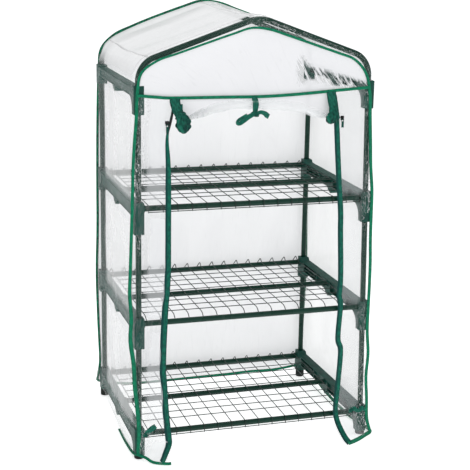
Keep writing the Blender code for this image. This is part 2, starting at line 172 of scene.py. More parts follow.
def coating_group():
    """Powder coat: orange peel, faint drift in colour, and small bright flecks where it has rubbed."""
    tree, ins, outs = new_group(
        "powder coat",
        [("Vector", "v", None), ("Peel", "f", 420.0), ("Base", "c", BLACK), ("Worn", "c", WHITE)],
        [("Colour", "c"), ("Height", "f"), ("Roughness", "f")],
    )
    peel = noise_of(tree, ins["Vector"], ins["Peel"], 2.0)
    drift = noise_of(tree, ins["Vector"], 12.0, 3.0)
    flecks = spread(tree, noise_of(tree, ins["Vector"], 700.0, 1.0), 0.7, 0.78)
    worn = maths(tree, "MULTIPLY_ADD", flecks, 0.35, spread(tree, drift, 0.35, 0.8, 0.0, 0.35), clamp=True)
    tree.links.new(mix(tree, worn, ins["Base"], ins["Worn"]), outs["Colour"])
    tree.links.new(peel, outs["Height"])
    tree.links.new(spread(tree, drift, 0.3, 0.7, 0.22, 0.36), outs["Roughness"])
    return tree


def weave_group():
    """Grosgrain tape from its own UV map, in metres: ribs across, darker along both edges, a stripe down one
    side.
    """
    tree, ins, outs = new_group(
        "tape weave",
        [
            ("Vector", "v", None),
            ("Rib", "f", 900.0),
            ("Width", "f", 0.01),
            ("Stripe", "f", 0.0),
            ("Base", "c", BLACK),
            ("Second", "c", WHITE),
        ],
        [("Colour", "c"), ("Height", "f"), ("Roughness", "f")],
    )
    parts = node(tree, "SeparateXYZ", None, Vector=ins["Vector"])
    across, along = parts.outputs[0], parts.outputs[1]
    ribs = maths(tree, "SINE", times(tree, along, ins["Rib"]))
    yarns = maths(tree, "SINE", times(tree, across, times(tree, ins["Rib"], 1.7)))
    share = maths(tree, "DIVIDE", across, ins["Width"])
    edge = spread(tree, maths(tree, "ABSOLUTE", share), 0.36, 0.46)
    stripe = times(tree, spread(tree, share, 0.1, 0.18), ins["Stripe"])
    drift = noise_of(tree, scaled(tree, ins["Vector"], (170.0, 90.0, 1.0)), 1.0, 3.0)
    drift = spread(tree, drift, 0.36, 0.64, 0.0, 0.75)
    shade = maths(tree, "MULTIPLY_ADD", edge, 0.45, drift, clamp=True)
    shade = maths(tree, "MAXIMUM", shade, stripe)
    worked = mix(tree, shade, ins["Base"], ins["Second"])
    rib_shade = spread(tree, ribs, -1.0, 1.0, 0.82, 1.08, smooth=False)
    shaded = node(tree, "VectorMath", {"operation": "SCALE"}, _0=worked, Scale=rib_shade)
    tree.links.new(shaded.outputs[0], outs["Colour"])
    height = maths(tree, "MULTIPLY_ADD", yarns, 0.35, ribs)
    tree.links.new(maths(tree, "MULTIPLY_ADD", edge, 1.5, height), outs["Height"])
    tree.links.new(spread(tree, ribs, -1.0, 1.0, 0.62, 0.5), outs["Roughness"])
    return tree


HAZE_SCALE, STREAK_SCALE, CRINKLE_SCALE = (9.0, 3.0, 1.0), (110.0, 13.0, 1.0), (190.0, 95.0, 1.0)


def film_group():
    """Clear film: hazy where it hangs free, clear where it lies on the frame, glittering where bunched.

    The glitter is painted highlight; the darkening in folds, along crease lines and over the frame is painted
    shade.
    A Touch below zero does the opposite of clearing: it adds haze and whitens the film with painted light."""
    tree, ins, outs = new_group(
        "crinkled film",
        [
            ("Vector", "v", None),
            ("Bunch", "f", 0.0),
            ("Touch", "f", 0.0),
            ("Haze", "f", 0.4),
            ("Crease", "f", 0.16),
            ("Keep", "f", 0.72),
            ("Body", "c", (0.8, 0.8, 0.8, 1)),
            ("Shade", "c", (0.3, 0.3, 0.3, 1)),
            ("Shine", "c", WHITE),
        ],
        [("Colour", "c"), ("Alpha", "f"), ("Height", "f"), ("Roughness", "f")],
    )
    place, bunch = ins["Vector"], ins["Bunch"]
    broad = noise_of(tree, scaled(tree, place, HAZE_SCALE), 1.0, 3.0, 0.5, 0.6)
    streaks = noise_of(tree, scaled(tree, place, STREAK_SCALE), 1.0, 3.0, 0.6, 0.7)
    crinkle = noise_of(tree, scaled(tree, place, CRINKLE_SCALE), 1.0, 3.0, 0.65, 1.2)
    combed = maths(tree, "MAXIMUM", spread(tree, streaks, 0.4, 0.54), ins["Keep"])
    touch = times(tree, ins["Touch"], combed, clamp=True)
    haze_and_painted_light = times(tree, ins["Touch"], -0.5, clamp=True)
    glint = maths(tree, "MAXIMUM", spread(tree, crinkle, 0.57, 0.63), ridge(tree, streaks, 0.022))
    shine = times(tree, glint, times(tree, bunch, touch), clamp=True)
    folds = spread(tree, streaks, 0.56, 0.7)
    drawn = maths(tree, "MAXIMUM", ridge(tree, streaks, 0.03), times(tree, folds, 0.55))
    lines = times(tree, drawn, bunch, clamp=True)
    # Painted shade: the film is a little darker in its folds.
    tone = mix(tree, times(tree, folds, 0.04), ins["Body"], ins["Shade"])
    # Painted shade along the crease lines, as strong as the material's crease setting.
    tone = mix(tree, times(tree, lines, ins["Crease"]), tone, ins["Shade"])
    # Painted shade where the film lies over the frame, standing in for the dark frame seen through its haze.
    tone = mix(tree, times(tree, touch, 0.85), tone, ins["Shade"])
    # Painted light: film with a Touch below zero is whitened toward Shine, besides its added haze.
    tone = mix(tree, times(tree, haze_and_painted_light, 1.5), tone, ins["Shine"])
    tree.links.new(mix(tree, shine, tone, ins["Shine"]), outs["Colour"])
    clear = maths(tree, "MULTIPLY_ADD", touch, -0.95, 1.0)
    hazy = maths(tree, "ADD", ins["Haze"], spread(tree, broad, 0.3, 0.7, -0.03, 0.03))
    hazy = maths(tree, "ADD", hazy, haze_and_painted_light, clamp=True)
    alpha = times(tree, hazy, clear)
    alpha = maths(tree, "MULTIPLY_ADD", lines, 0.14, alpha)
    alpha = maths(tree, "MULTIPLY_ADD", shine, 0.85, alpha, clamp=True)
    tree.links.new(alpha, outs["Alpha"])
    height = maths(tree, "MULTIPLY_ADD", times(tree, crinkle, bunch), 0.2, broad)
    tree.links.new(height, outs["Height"])
    tree.links.new(spread(tree, crinkle, 0.3, 0.7, 0.1, 0.24), outs["Roughness"])
    return tree


GROUPS = {
    "moulded": moulded_group(),
    "coating": coating_group(),
    "weave": weave_group(),
    "film": film_group(),
}


def start_material(name):
    made = bpy.data.materials.new(name)
    made.use_nodes = True
    tree = made.node_tree
    shader = tree.nodes["Principled BSDF"]
    return made, tree, shader


def place_group(tree, key, **values):
    made = tree.nodes.new("ShaderNodeGroup")
    made.node_tree = GROUPS[key]
    for label, value in values.items():
        if isinstance(value, bpy.types.NodeSocket):
            tree.links.new(value, made.inputs[label])
        else:
            made.inputs[label].default_value = value
    return made


def bump(tree, height, strength, distance, shader):
    made = node(tree, "Bump", None, Strength=strength, Distance=distance, Height=height)
    tree.links.new(made.outputs[0], shader.inputs["Normal"])


def feed(tree, group, shader, *labels):
    """Links a group's outputs to the shader: Colour to Base Color, the others to their namesakes."""
    for label in labels:
        tree.links.new(group.outputs[label], shader.inputs["Base Color" if label == "Colour" else label])


def dial(shader, **values):
    """Sets inputs by name, with underscores for spaces."""
    for label, value in values.items():
        shader.inputs[label.replace("_", " ")].default_value = value


def object_place(tree):
    return tree.nodes.new("ShaderNodeTexCoord").outputs["Object"]


def coated_steel(name, base, worn, peel=420.0):
    made, tree, shader = start_material(name)
    coat = place_group(tree, "coating", Vector=object_place(tree), Peel=peel, Base=base, Worn=worn)
    feed(tree, coat, shader, "Colour", "Roughness")
    bump(tree, coat.outputs["Height"], 0.12, 0.0004, shader)
    dial(shader, Specular_IOR_Level=0.22, Coat_Weight=0.1, Coat_Roughness=0.12)
    return made


def moulding(name, dark, light, rough, grain=900.0):
    made, tree, shader = start_material(name)
    skin = place_group(tree, "moulded", Vector=object_place(tree), Grain=grain, Dark=dark, Light=light)
    feed(tree, skin, shader, "Colour")
    low, high = rough
    tree.links.new(spread(tree, skin.outputs["Gloss"], 0.0, 1.0, low, high), shader.inputs["Roughness"])
    bump(tree, skin.outputs["Height"], 0.15, 0.0003, shader)
    dial(shader, Specular_IOR_Level=0.22)
    return made


def woven(name, base, second, width, stripe=0.0, rib=5200.0):
    made, tree, shader = start_material(name)
    uv = node(tree, "UVMap", {"uv_map": "tape"}).outputs[0]
    cloth = place_group(
        tree, "weave", Vector=uv, Rib=rib, Width=width, Stripe=stripe, Base=base, Second=second
    )
    feed(tree, cloth, shader, "Colour", "Roughness")
    bump(tree, cloth.outputs["Height"], 0.25, 0.0003, shader)
    dial(shader, Sheen_Weight=0.04, Specular_IOR_Level=0.15)
    return made


def clear_film(name, haze, body, glow, crease_shade=0.16, keep=0.72, shade=(0.1, 0.12, 0.12, 1)):
    """Film whose haze also glows a little, a painted light that stands in for the whole white room behind and
    around it.
    """
    made, tree, shader = start_material(name)
    sheet = place_group(
        tree,
        "film",
        Vector=node(tree, "UVMap", {"uv_map": "lie"}).outputs[0],
        Bunch=node(tree, "Attribute", {"attribute_name": "bunch"}).outputs["Fac"],
        Touch=node(tree, "Attribute", {"attribute_name": "touch"}).outputs["Fac"],
        Haze=haze,
        Crease=crease_shade,
        Body=body,
        Keep=keep,
        Shade=shade,
    )
    feed(tree, sheet, shader, "Colour", "Alpha", "Roughness")
    bump(tree, sheet.outputs["Height"], 0.5, 0.003, shader)
    tree.links.new(sheet.outputs["Colour"], shader.inputs["Emission Color"])
    dial(shader, Emission_Strength=glow, IOR=1.45, Specular_IOR_Level=0.3)
    return made


MATERIALS = {
    "tube": coated_steel("green_powder_coat", (0.0015, 0.03, 0.018, 1), (0.006, 0.058, 0.038, 1)),
    "wire": coated_steel("green_wire_coat", (0.008, 0.022, 0.017, 1), (0.035, 0.06, 0.05, 1), 900.0),
    "moulding": moulding("green_moulding", (0.0018, 0.036, 0.026, 1), (0.008, 0.074, 0.055, 1), (0.38, 0.52)),
    "rubber": moulding(
        "black_rubber", (0.002, 0.004, 0.003, 1), (0.009, 0.014, 0.012, 1), (0.55, 0.75), 1400.0
    ),
    "zip_metal": coated_steel("zip_black", (0.008, 0.008, 0.009, 1), (0.08, 0.08, 0.09, 1), 1200.0),
    "binding": woven("green_binding", (0.002, 0.225, 0.108, 1), (0.001, 0.115, 0.062, 1), 0.009),
    # The rear binding's dark stripe down one edge is a painted shadow along its lower edge.
    "rear_binding": woven("rear_binding", (0.004, 0.23, 0.112, 1), (0.006, 0.03, 0.022, 1), 0.0135, 1.0),
    "tape": woven("zip_tape_weave", (0.002, 0.15, 0.092, 1), (0.0008, 0.05, 0.045, 1), 0.0168, 1.0),
    "strap": woven("strap_weave", (0.01, 0.165, 0.108, 1), (0.0006, 0.04, 0.032, 1), 0.027),
    # The film pieces are one film: their Body tones and glows differ from piece to piece as painted light and
    # shade.
    "film_gable": clear_film("film_gable", 0.93, (0.72, 0.72, 0.735, 1), 0.2, keep=0.0),
    "film_left": clear_film("film_left_strip", 0.42, (0.67, 0.675, 0.69, 1), 0.18, keep=0.8),
    "film_right": clear_film("film_right_strip", 0.26, (0.58, 0.59, 0.6, 1), 0.15, keep=0.8),
    "film_side": clear_film("film_side", 0.52, (0.59, 0.59, 0.59, 1), 0.145, keep=0.95),
    "film_back": clear_film("film_back", 0.8, (0.78, 0.78, 0.79, 1), 0.25),
    "film_roll": clear_film("film_roll", 0.07, (0.72, 0.73, 0.74, 1), 0.185, 0.95),
}

# ---------------------------------------------------------------- working in edit mode


def deselect():
    for obj in list(bpy.context.selected_objects):
        obj.select_set(False)


def take(obj):
    deselect()
    obj.select_set(True)
    bpy.context.view_layer.objects.active = obj
    return obj


def edit(on=True):
    bpy.ops.object.mode_set(mode="EDIT" if on else "OBJECT")


def settle(obj, name):
    """Puts the object's place into its mesh and gives it its name."""
    take(obj)
    bpy.ops.object.transform_apply(location=True, rotation=True, scale=True)
    obj.name = obj.data.name = name
    return obj


def apply_all(obj):
    take(obj)
    for step in list(obj.modifiers):
        bpy.ops.object.modifier_apply(modifier=step.name)
    return obj


def add_step(obj, kind, **settings):
    step = obj.modifiers.new(kind.lower(), kind)
    for label, value in settings.items():
        setattr(step, label, value)
    return step


def smooth(obj, degrees=35):
    take(obj)
    bpy.ops.object.shade_smooth_by_angle(angle=math.radians(degrees))
    return obj


def draw_out(moves):
    """In edit mode, draws the selected ring out along moves.

    A move is a vector, or (centre, axis, angle, steps) to turn by the right-hand rule, which spin takes
    the other way round."""
    for move in moves:
        if isinstance(move, Vector):
            bpy.ops.mesh.extrude_region_move(TRANSFORM_OT_translate={"value": move})
        else:
            centre, axis, angle, steps = move
            bpy.ops.mesh.spin(steps=steps, angle=-angle, center=centre, axis=axis)


MERGE = 0.00001


def clean_up(merge=0.0):
    """In edit mode, merges what meets, turns every face outward and goes back to object mode."""
    bpy.ops.mesh.select_all(action="SELECT")
    if merge:
        bpy.ops.mesh.remove_doubles(threshold=merge)
    bpy.ops.mesh.normals_make_consistent(inside=False)
    edit(False)


def drawn_plate(name, corners, thickness):
    """A plate whose outline is drawn corner by corner in Y and Z, standing across X."""
    start = Vector((-thickness / 2, *corners[0]))
    bpy.ops.mesh.primitive_plane_add(size=0.001, location=start)
    obj = bpy.context.active_object
    edit()
    bpy.ops.mesh.select_all(action="SELECT")
    bpy.ops.mesh.merge(type="CENTER")
    for (y0, z0), (y1, z1) in zip(corners, corners[1:] + corners[:1]):
        bpy.ops.mesh.extrude_vertices_move(TRANSFORM_OT_translate={"value": (0, y1 - y0, z1 - z0)})
    bpy.ops.mesh.select_all(action="SELECT")
    bpy.ops.mesh.remove_doubles(threshold=0.00002)
    bpy.ops.mesh.edge_face_add()
    bpy.ops.mesh.extrude_region_move(TRANSFORM_OT_translate={"value": (thickness, 0, 0)})
    clean_up()
    return settle(obj, name)


def block(low, high, round_by=0.0, segments=2):
    """A box with its edges rounded."""
    size = [b - a for a, b in zip(low, high)]
    place = [(a + b) / 2 for a, b in zip(low, high)]
    bpy.ops.mesh.primitive_cube_add(size=1, location=place, scale=size)
    obj = settle(bpy.context.active_object, "block")
    if round_by:
        add_step(obj, "BEVEL", width=round_by, segments=segments)
        apply_all(obj)
    return obj


def drum(place, radius, depth, axis="Z", sides=32, rim=0.0):
    """A cylinder, its rims rounded."""
    turns = {"X": (0, math.pi / 2, 0), "Y": (math.pi / 2, 0, 0), "Z": (0, 0, 0)}
    bpy.ops.mesh.primitive_cylinder_add(
        vertices=sides, radius=radius, depth=depth, location=place, rotation=turns[axis]
    )
    obj = settle(bpy.context.active_object, "drum")
    if rim:
        add_step(obj, "BEVEL", width=rim, segments=2, limit_method="ANGLE", angle_limit=math.radians(50))
        apply_all(obj)
    return obj


def combined(obj, others, operation="DIFFERENCE"):
    """Cuts the others out of obj, or joins them to it, and removes them."""
    for other in others:
        add_step(obj, "BOOLEAN", operation=operation, solver="EXACT", object=other)
    apply_all(obj)
    for other in others:
        bpy.data.objects.remove(other)
    return obj


def joined(parts, name):
    deselect()
    for part in parts:
        part.select_set(True)
    bpy.context.view_layer.objects.active = parts[0]
    bpy.ops.object.join()
    return settle(bpy.context.active_object, name)


def duplicate(obj, name):
    made = obj.copy()
    made.data = obj.data.copy()
    made.name = made.data.name = name
    bpy.context.scene.collection.objects.link(made)
    return made


def belong(obj, body, slot, *nodes):
    """Gives a finished piece its body and hides the CAD nodes it stands for. The slot is not used."""
    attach(obj, body)
    if nodes:
        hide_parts(*nodes)


def hand_over(obj, body, slot, material, *nodes):
    """Gives a finished piece its one material too."""
    obj.data.materials.clear()
    obj.data.materials.append(MATERIALS[material])
    belong(obj, body, slot, *nodes)


# ---------------------------------------------------------------- tubes

TUBE_SIDES = 28
TUBE_WALL = 0.0008


def straight_tube(name, node_name, stretch_by=0.0):
    """A cut length of tube: open ends, a wall, and rims with the burr taken off."""
    low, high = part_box(node_name)
    if "front_right" in node_name:
        shift, turn = lean((low.z + high.z) / 2), math.atan(LEAN_RISE)
        low, high = low + Vector((shift, 0, 0)), high + Vector((shift, 0, 0))
    else:
        turn = 0.0
        high = high + Vector((stretch_by, 0, 0))
    size = high - low
    axis = "XYZ"[max(range(3), key=lambda i: size[i])]
    turns = {"X": (0, math.pi / 2, 0), "Z": (0, turn, 0)}
    bpy.ops.mesh.primitive_cylinder_add(
        vertices=TUBE_SIDES,
        radius=TUBE,
        depth=max(size),
        end_fill_type="NOTHING",
        location=(low + high) / 2,
        rotation=turns[axis],
    )
    obj = settle(bpy.context.active_object, name)
    finish_tube(obj)
    hand_over(obj, "frame", "tube", "tube", node_name)


def finish_tube(obj):
    add_step(obj, "SOLIDIFY", thickness=TUBE_WALL, offset=-1.0)
    add_step(obj, "BEVEL", width=0.0002, segments=2, limit_method="ANGLE", angle_limit=math.radians(60))
    apply_all(obj)
    smooth(obj)


ROOF_ANGLE = math.radians(19.6)
RIDGE_Z, SHOULDER_Z, APEX_RADIUS = 1.229, 1.0642, 0.09


def roof_arch(end, y):
    """One bent tube: a circle drawn up the leg, round the shoulder, up the slope, over the apex and down."""
    foot_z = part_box(f"roof_arch_{end}")[0].z
    sine, cosine = math.sin(ROOF_ANGLE), math.cos(ROOF_ANGLE)
    shoulder = ((RIDGE_Z - SHOULDER_Z) * cosine - POST_X * sine) / (1 - sine)
    apex_low = RIDGE_Z - APEX_RADIUS / cosine
    slope_start = Vector((-POST_X + shoulder * (1 - sine), 0, SHOULDER_Z + shoulder * cosine))
    slope_end = Vector((-APEX_RADIUS * sine, 0, apex_low + APEX_RADIUS * cosine))
    slope = slope_end - slope_start
    bpy.ops.mesh.primitive_circle_add(vertices=TUBE_SIDES, radius=TUBE, location=(-POST_X, y, foot_z))
    obj = settle(bpy.context.active_object, f"arch_tube_{end}")
    edit()
    bpy.ops.mesh.select_all(action="SELECT")
    bend = math.pi / 2 - ROOF_ANGLE
    inset = -lean(SHOULDER_Z) if end == "front" else 0.0
    tilt = -math.atan(LEAN_RISE) if end == "front" else 0.0
    shorter = inset / slope.x
    right_z = SHOULDER_Z + inset * slope.z / slope.x
    draw_out(
        [
            Vector((0, 0, SHOULDER_Z - foot_z)),
            ((-POST_X + shoulder, y, SHOULDER_Z), (0, 1, 0), bend, 14),
            slope,
            ((0, y, apex_low), (0, 1, 0), 2 * ROOF_ANGLE, 10),
            Vector((slope.x, 0, -slope.z)) * (1 - shorter),
            ((POST_X - shoulder - inset, y, right_z), (0, 1, 0), bend - tilt, 14),
            Vector(((right_z - foot_z) * math.tan(tilt), 0, foot_z - right_z)),
        ]
    )
    clean_up(MERGE)
    finish_tube(obj)
    hand_over(obj, "frame", "tube", "tube", f"roof_arch_{end}")


def tubes():
    for end, y in ENDS:
        roof_arch(end, y)
        for side, _ in SIDES:
            for part in (1, 2, 3):
                straight_tube(f"{end}_{side}_post_{part}", f"post_{end}_{side}_{part}")
    for row, share in (("front", 1.0), ("middle", 0.5), ("rear", 0.0)):
        for level in (1, 2, 3):
            longer = share * lean(LEVELS[level - 1])
            straight_tube(f"{row}_tube_{level}", f"shelf_tube_{row}_{level}", longer)


tubes()

# ---------------------------------------------------------------- side brackets and feet

BRACKET_HALF, SOCKET_HALF = 0.014, 0.0135
BEAM_TOP, BEAM_BOTTOM, SOCKET_TOP = 0.01, -0.024, 0.018
FRONT_GUSSET, REAR_GUSSET = 0.036, 0.021
SKIN = 0.003
POCKET_DEEP = 0.009
BORE = 0.0087
COLLAR, COLLAR_OUT = 0.0114, 0.0032
REAR_REACH = 0.05
TOP_CROWN = 0.009  # how much lower the top of the highest pair is


def arc(y, z, radius, start, end, steps):
    """Corners on a circle, angles in degrees."""
    angles = [math.radians(start + (end - start) * i / steps) for i in range(steps + 1)]
    return [(y + radius * math.cos(a), z + radius * math.sin(a)) for a in angles]


def bracket_outline(front_reach, rear_reach, crown):
    front, rear = -HALF_DEPTH, HALF_DEPTH
    line = [(front - SOCKET_HALF, -front_reach), (front + SOCKET_HALF, -front_reach)]
    line += arc(front + SOCKET_HALF + FRONT_GUSSET, -0.06, FRONT_GUSSET, 180, 90, 9)
    line += [(-0.02, BEAM_BOTTOM), (-0.016, -0.031), (-0.011, -0.0385), (-0.004, -0.04)]
    line += [(0.002, -0.0365), (0.01, -0.034), (0.016, -0.029), (0.024, BEAM_BOTTOM)]
    line += arc(rear - SOCKET_HALF - REAR_GUSSET, -0.045, REAR_GUSSET, 90, 0, 7)
    line += [(rear - SOCKET_HALF, -rear_reach), (rear + SOCKET_HALF, -rear_reach)]
    top, beam = SOCKET_TOP - 1.2 * crown, BEAM_TOP - crown
    line += [(rear + SOCKET_HALF, top), (rear - SOCKET_HALF, top)]
    line += [(rear - SOCKET_HALF - top + beam, beam), (front + SOCKET_HALF + top - beam, beam)]
    return line + [(front + SOCKET_HALF, top), (front - SOCKET_HALF, top)]


def bracket_pockets(crown):
    """Hollows in the inner face. What is left between them are the long ribs and the cross ribs."""
    low, high = BEAM_BOTTOM + SKIN, BEAM_TOP - crown - SKIN
    near, far = BRACKET_HALF - POCKET_DEEP, BRACKET_HALF + 0.002
    spans = [
        (-0.205, -0.15, low, high), (-0.147, -0.09, low, high), (-0.087, -0.026, low, high),
        (0.028, 0.088, low, high),
    ]
    for step in range(3):
        rib_low = low + step * (high - low + 0.002) / 3
        spans.append((0.091, 0.203, rib_low, rib_low + (high - low - 0.004) / 3))
    cuts = [block((near, y0, z0), (far, y1, z1), 0.0012) for y0, y1, z0, z1 in spans]
    outer = -BRACKET_HALF
    cuts.append(block((outer - 0.002, -0.2, low), (outer + 0.0012, 0.2, high), 0.0008))
    return cuts


def bracket_shape(front_reach, rear_reach, shelf_tubes):
    """The left-hand bracket, its inner face towards +X, about the middle of its tube line."""
    crown = 0.0 if shelf_tubes else TOP_CROWN
    body = drawn_plate("bracket", bracket_outline(front_reach, rear_reach, crown), 2 * BRACKET_HALF)
    add_step(body, "BEVEL", width=0.0016, segments=3, limit_method="ANGLE", angle_limit=math.radians(28))
    apply_all(body)
    cuts = bracket_pockets(crown)
    for y, reach in ((-HALF_DEPTH, front_reach), (HALF_DEPTH, rear_reach)):
        cuts.append(drum((0, y, SOCKET_TOP + 0.002 - 0.015), BORE, 0.03))
        cuts.append(drum((0, y, (-reach - 0.002 - 0.014) / 2), BORE, reach - 0.012))
    combined(body, cuts)
    if shelf_tubes:
        out = BRACKET_HALF + COLLAR_OUT / 2 - 0.0005
        rows = (-HALF_DEPTH, 0, HALF_DEPTH)
        combined(body, [drum((out, y, 0), COLLAR, COLLAR_OUT, "X", rim=0.0006) for y in rows], "UNION")
        combined(body, [drum((BRACKET_HALF + 0.0031, y, 0), TUBE + 0.0004, 0.006, "X") for y in rows])
    hooks = [drum((BRACKET_HALF, -0.004, -0.0315), 0.0036, 0.02, "X", 20)]
    hooks.append(block((BRACKET_HALF - 0.01, -0.0185, -0.03), (BRACKET_HALF + 0.002, -0.0125, -0.0265)))
    hooks += [drum((BRACKET_HALF, HALF_DEPTH - 0.004, -0.04), 0.004, 0.01, "X", 20)]
    combined(body, hooks)
    smooth(body, 32)
    return body


def brackets():
    shapes = {}
    for level in (1, 2, 4):
        reach = LEVELS[level - 1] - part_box(f"bracket_left_{level}")[0].z
        shapes[level] = bracket_shape(reach, REAR_REACH, level < 4)
    shapes[3] = shapes[2]
    for side, sign in SIDES:
        for level in (1, 2, 3, 4):
            made = duplicate(shapes[level], f"{side}_bracket_{level}")
            take(made)
            if sign > 0:
                made.scale = (-1, 1, 1)
                bpy.ops.object.transform_apply(scale=True)
                edit()
                bpy.ops.mesh.select_all(action="SELECT")
                bpy.ops.mesh.flip_normals()
                edit(False)
                turn = math.asin(lean(LEVELS[level - 1]) / (2 * HALF_DEPTH))
                made.matrix_world = (
                    Matrix.Translation((POST_X, REAR_Y, LEVELS[level - 1]))
                    @ Matrix.Rotation(turn, 4, "Z")
                    @ Matrix.Translation((0, -HALF_DEPTH, 0))
                )
            else:
                made.location = (-POST_X, MIDDLE_Y, LEVELS[level - 1])
            settle(made, f"{side}_bracket_{level}")
            smooth(made, 32)
            hand_over(made, "frame", "moulding", "moulding", f"bracket_{side}_{level}")
    for level in (1, 2, 4):
        bpy.data.objects.remove(shapes[level])


def feet():
    for end, y in ENDS:
        for side, sign in SIDES:
            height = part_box(f"foot_{end}_{side}")[1].z - 0.025
            x = sign * POST_X + (lean(0) if (end, side) == ("front", "right") else 0)
            made = drum((x, y, height / 2), BRACKET_HALF - 0.0002, height, rim=0.0022)
            stem = drum((x, y, height + 0.01), 0.0078, 0.03, rim=0.001)
            combined(made, [stem], "UNION")
            made.name = made.data.name = f"{end}_{side}_foot"
            smooth(made)
            hand_over(made, "frame", "rubber", "rubber", f"foot_{end}_{side}")


# ---------------------------------------------------------------- wire shelves

WIRE = 0.00125
CROSS_COUNT, CROSS_PITCH = 16, 0.0408
LONG_COUNT, LONG_PITCH = 9, 0.0475
SHELVES = (  # tier, where the lip is, its bend, how far the hooks rise, how far the front stands up
    ("lower", 0.25655, 0.004, 0.0055, 0.0),
    ("middle", 0.2372, 0.03, 0.009, 0.0022),
    ("upper", 0.25655, 0.004, 0.004, 0.0),
)


WIRE_TOP = TUBE + 0.0003 + WIRE  # the middle of a wire that lies on the tubes
WELD = 0.0004  # how far two welded wires sink into each other
HOOK_TWIST = -38  # degrees that the hooks lean to the left
HOOK_RISE, HOOK_FALL = math.radians(38), math.radians(118)
HOOK_BEND, HOOK_TAIL, HOOK_INSET = 0.0022, 0.0145, 0.014


def cross_wire(x, lip, bend, rise, lift):
    """One wire from the front lip, round its bend, back across the tubes and over the rear one as a hook."""
    rest = WIRE_TOP + lift
    climb = math.acos(max(0.0, 1 - (rest + 0.006) / bend))
    start = (x, bend - lip - bend * math.sin(climb), rest - bend * (1 - math.cos(climb)))
    drop = max(0.0, start[2] + 0.011) if climb > 1.5 else 0.0
    bpy.ops.mesh.primitive_circle_add(
        vertices=6,
        radius=WIRE,
        location=(x, start[1], start[2] - drop),
        rotation=(climb - math.pi / 2, 0, 0),
        fill_type="NGON",
    )
    obj = settle(bpy.context.active_object, "cross_wire")
    edit()
    bpy.ops.mesh.select_all(action="SELECT")
    back = bend - lip
    foot_of_hook = HALF_DEPTH - HOOK_INSET
    if drop:
        draw_out([Vector((0, 0, drop))])
    draw_out([((x, back, rest - bend), (1, 0, 0), -climb, 6), Vector((0, foot_of_hook - back, -lift))])
    over = rise / math.sin(HOOK_RISE)
    draw_out([((x, foot_of_hook, WIRE_TOP + HOOK_BEND), (1, 0, 0), HOOK_RISE, 2)])
    ahead = Vector((0, math.cos(HOOK_RISE), math.sin(HOOK_RISE)))
    draw_out([over * ahead])
    peak_y = foot_of_hook + HOOK_BEND * math.sin(HOOK_RISE)
    peak = Vector((x, peak_y, WIRE_TOP + HOOK_BEND * (1 - math.cos(HOOK_RISE)))) + over * ahead
    sideways = math.radians(HOOK_TWIST)
    axis = math.cos(sideways) * Vector((1, 0, 0)) + math.sin(sideways) * Vector((1, 0, 0)).cross(ahead)
    draw_out([(peak - HOOK_BEND * axis.cross(ahead), axis, -HOOK_FALL, 6)])
    draw_out([HOOK_TAIL * (Matrix.Rotation(-HOOK_FALL, 3, axis) @ ahead)])
    clean_up(MERGE)
    return obj


def long_wire(y, z, half):
    return drum((0, y, z), WIRE, 2 * half, "X", 6)


def repeated(obj, count, step):
    add_step(obj, "ARRAY", count=count, use_relative_offset=False, use_constant_offset=True)
    obj.modifiers[0].constant_offset_displace = step
    return apply_all(obj)


def wire_shelf(level, tier, lip, bend, rise, lift):
    half = CROSS_PITCH * (CROSS_COUNT - 1) / 2
    crosses = repeated(cross_wire(-half, lip, bend, rise, lift), CROSS_COUNT, (CROSS_PITCH, 0, 0))
    first = 0.003 - LONG_PITCH * (LONG_COUNT - 1) / 2
    rows = long_wire(first, WIRE_TOP + 2 * WIRE - WELD, half + WIRE)
    repeated(rows, LONG_COUNT, (0, LONG_PITCH, 0))
    edge = long_wire(-lip + 2 * WIRE - WELD, -0.011 + WIRE, half + WIRE)
    shelf = joined([crosses, rows, edge], f"{tier}_wire_shelf")
    shelf.location = (0, MIDDLE_Y, LEVELS[level])
    settle(shelf, f"{tier}_wire_shelf")
    smooth(shelf, 50)
    hand_over(shelf, f"shelf_{tier}", "wire", "wire", f"wire_shelf_{tier}")


def shelves():
    for level, numbers in enumerate(SHELVES):
        wire_shelf(level, *numbers)


# ---------------------------------------------------------------- soft sheets and tapes

random.seed(7)


def curve_through(points, count):
    """count places spread evenly along a smooth line through the points."""
    pts = [Vector(p) for p in points]
    ends = [2 * pts[0] - pts[1]] + pts + [2 * pts[-1] - pts[-2]]
    fine = []
    for a, b, c, d in zip(ends, ends[1:], ends[2:], ends[3:]):
        for i in range(8):
            t = i / 8
            square = (2 * a - 5 * b + 4 * c - d) * t * t
            cube = (3 * b - a - 3 * c + d) * t**3
            fine.append(0.5 * (2 * b + (c - a) * t + square + cube))
    fine.append(pts[-1])
    lengths = [0.0]
    for a, b in zip(fine, fine[1:]):
        lengths.append(lengths[-1] + (b - a).length)
    out, k = [], 0
    for i in range(count):
        want = lengths[-1] * i / (count - 1)
        while k < len(fine) - 2 and lengths[k + 1] < want:
            k += 1
        gap = lengths[k + 1] - lengths[k]
        out.append(fine[k].lerp(fine[k + 1], (want - lengths[k]) / gap if gap else 0.0))
    return out


def share_of(value, low, high):
    """How far value is on its way from low to high, 0 to 1."""
    return min(max((value - low) / (high - low), 0.0), 1.0)
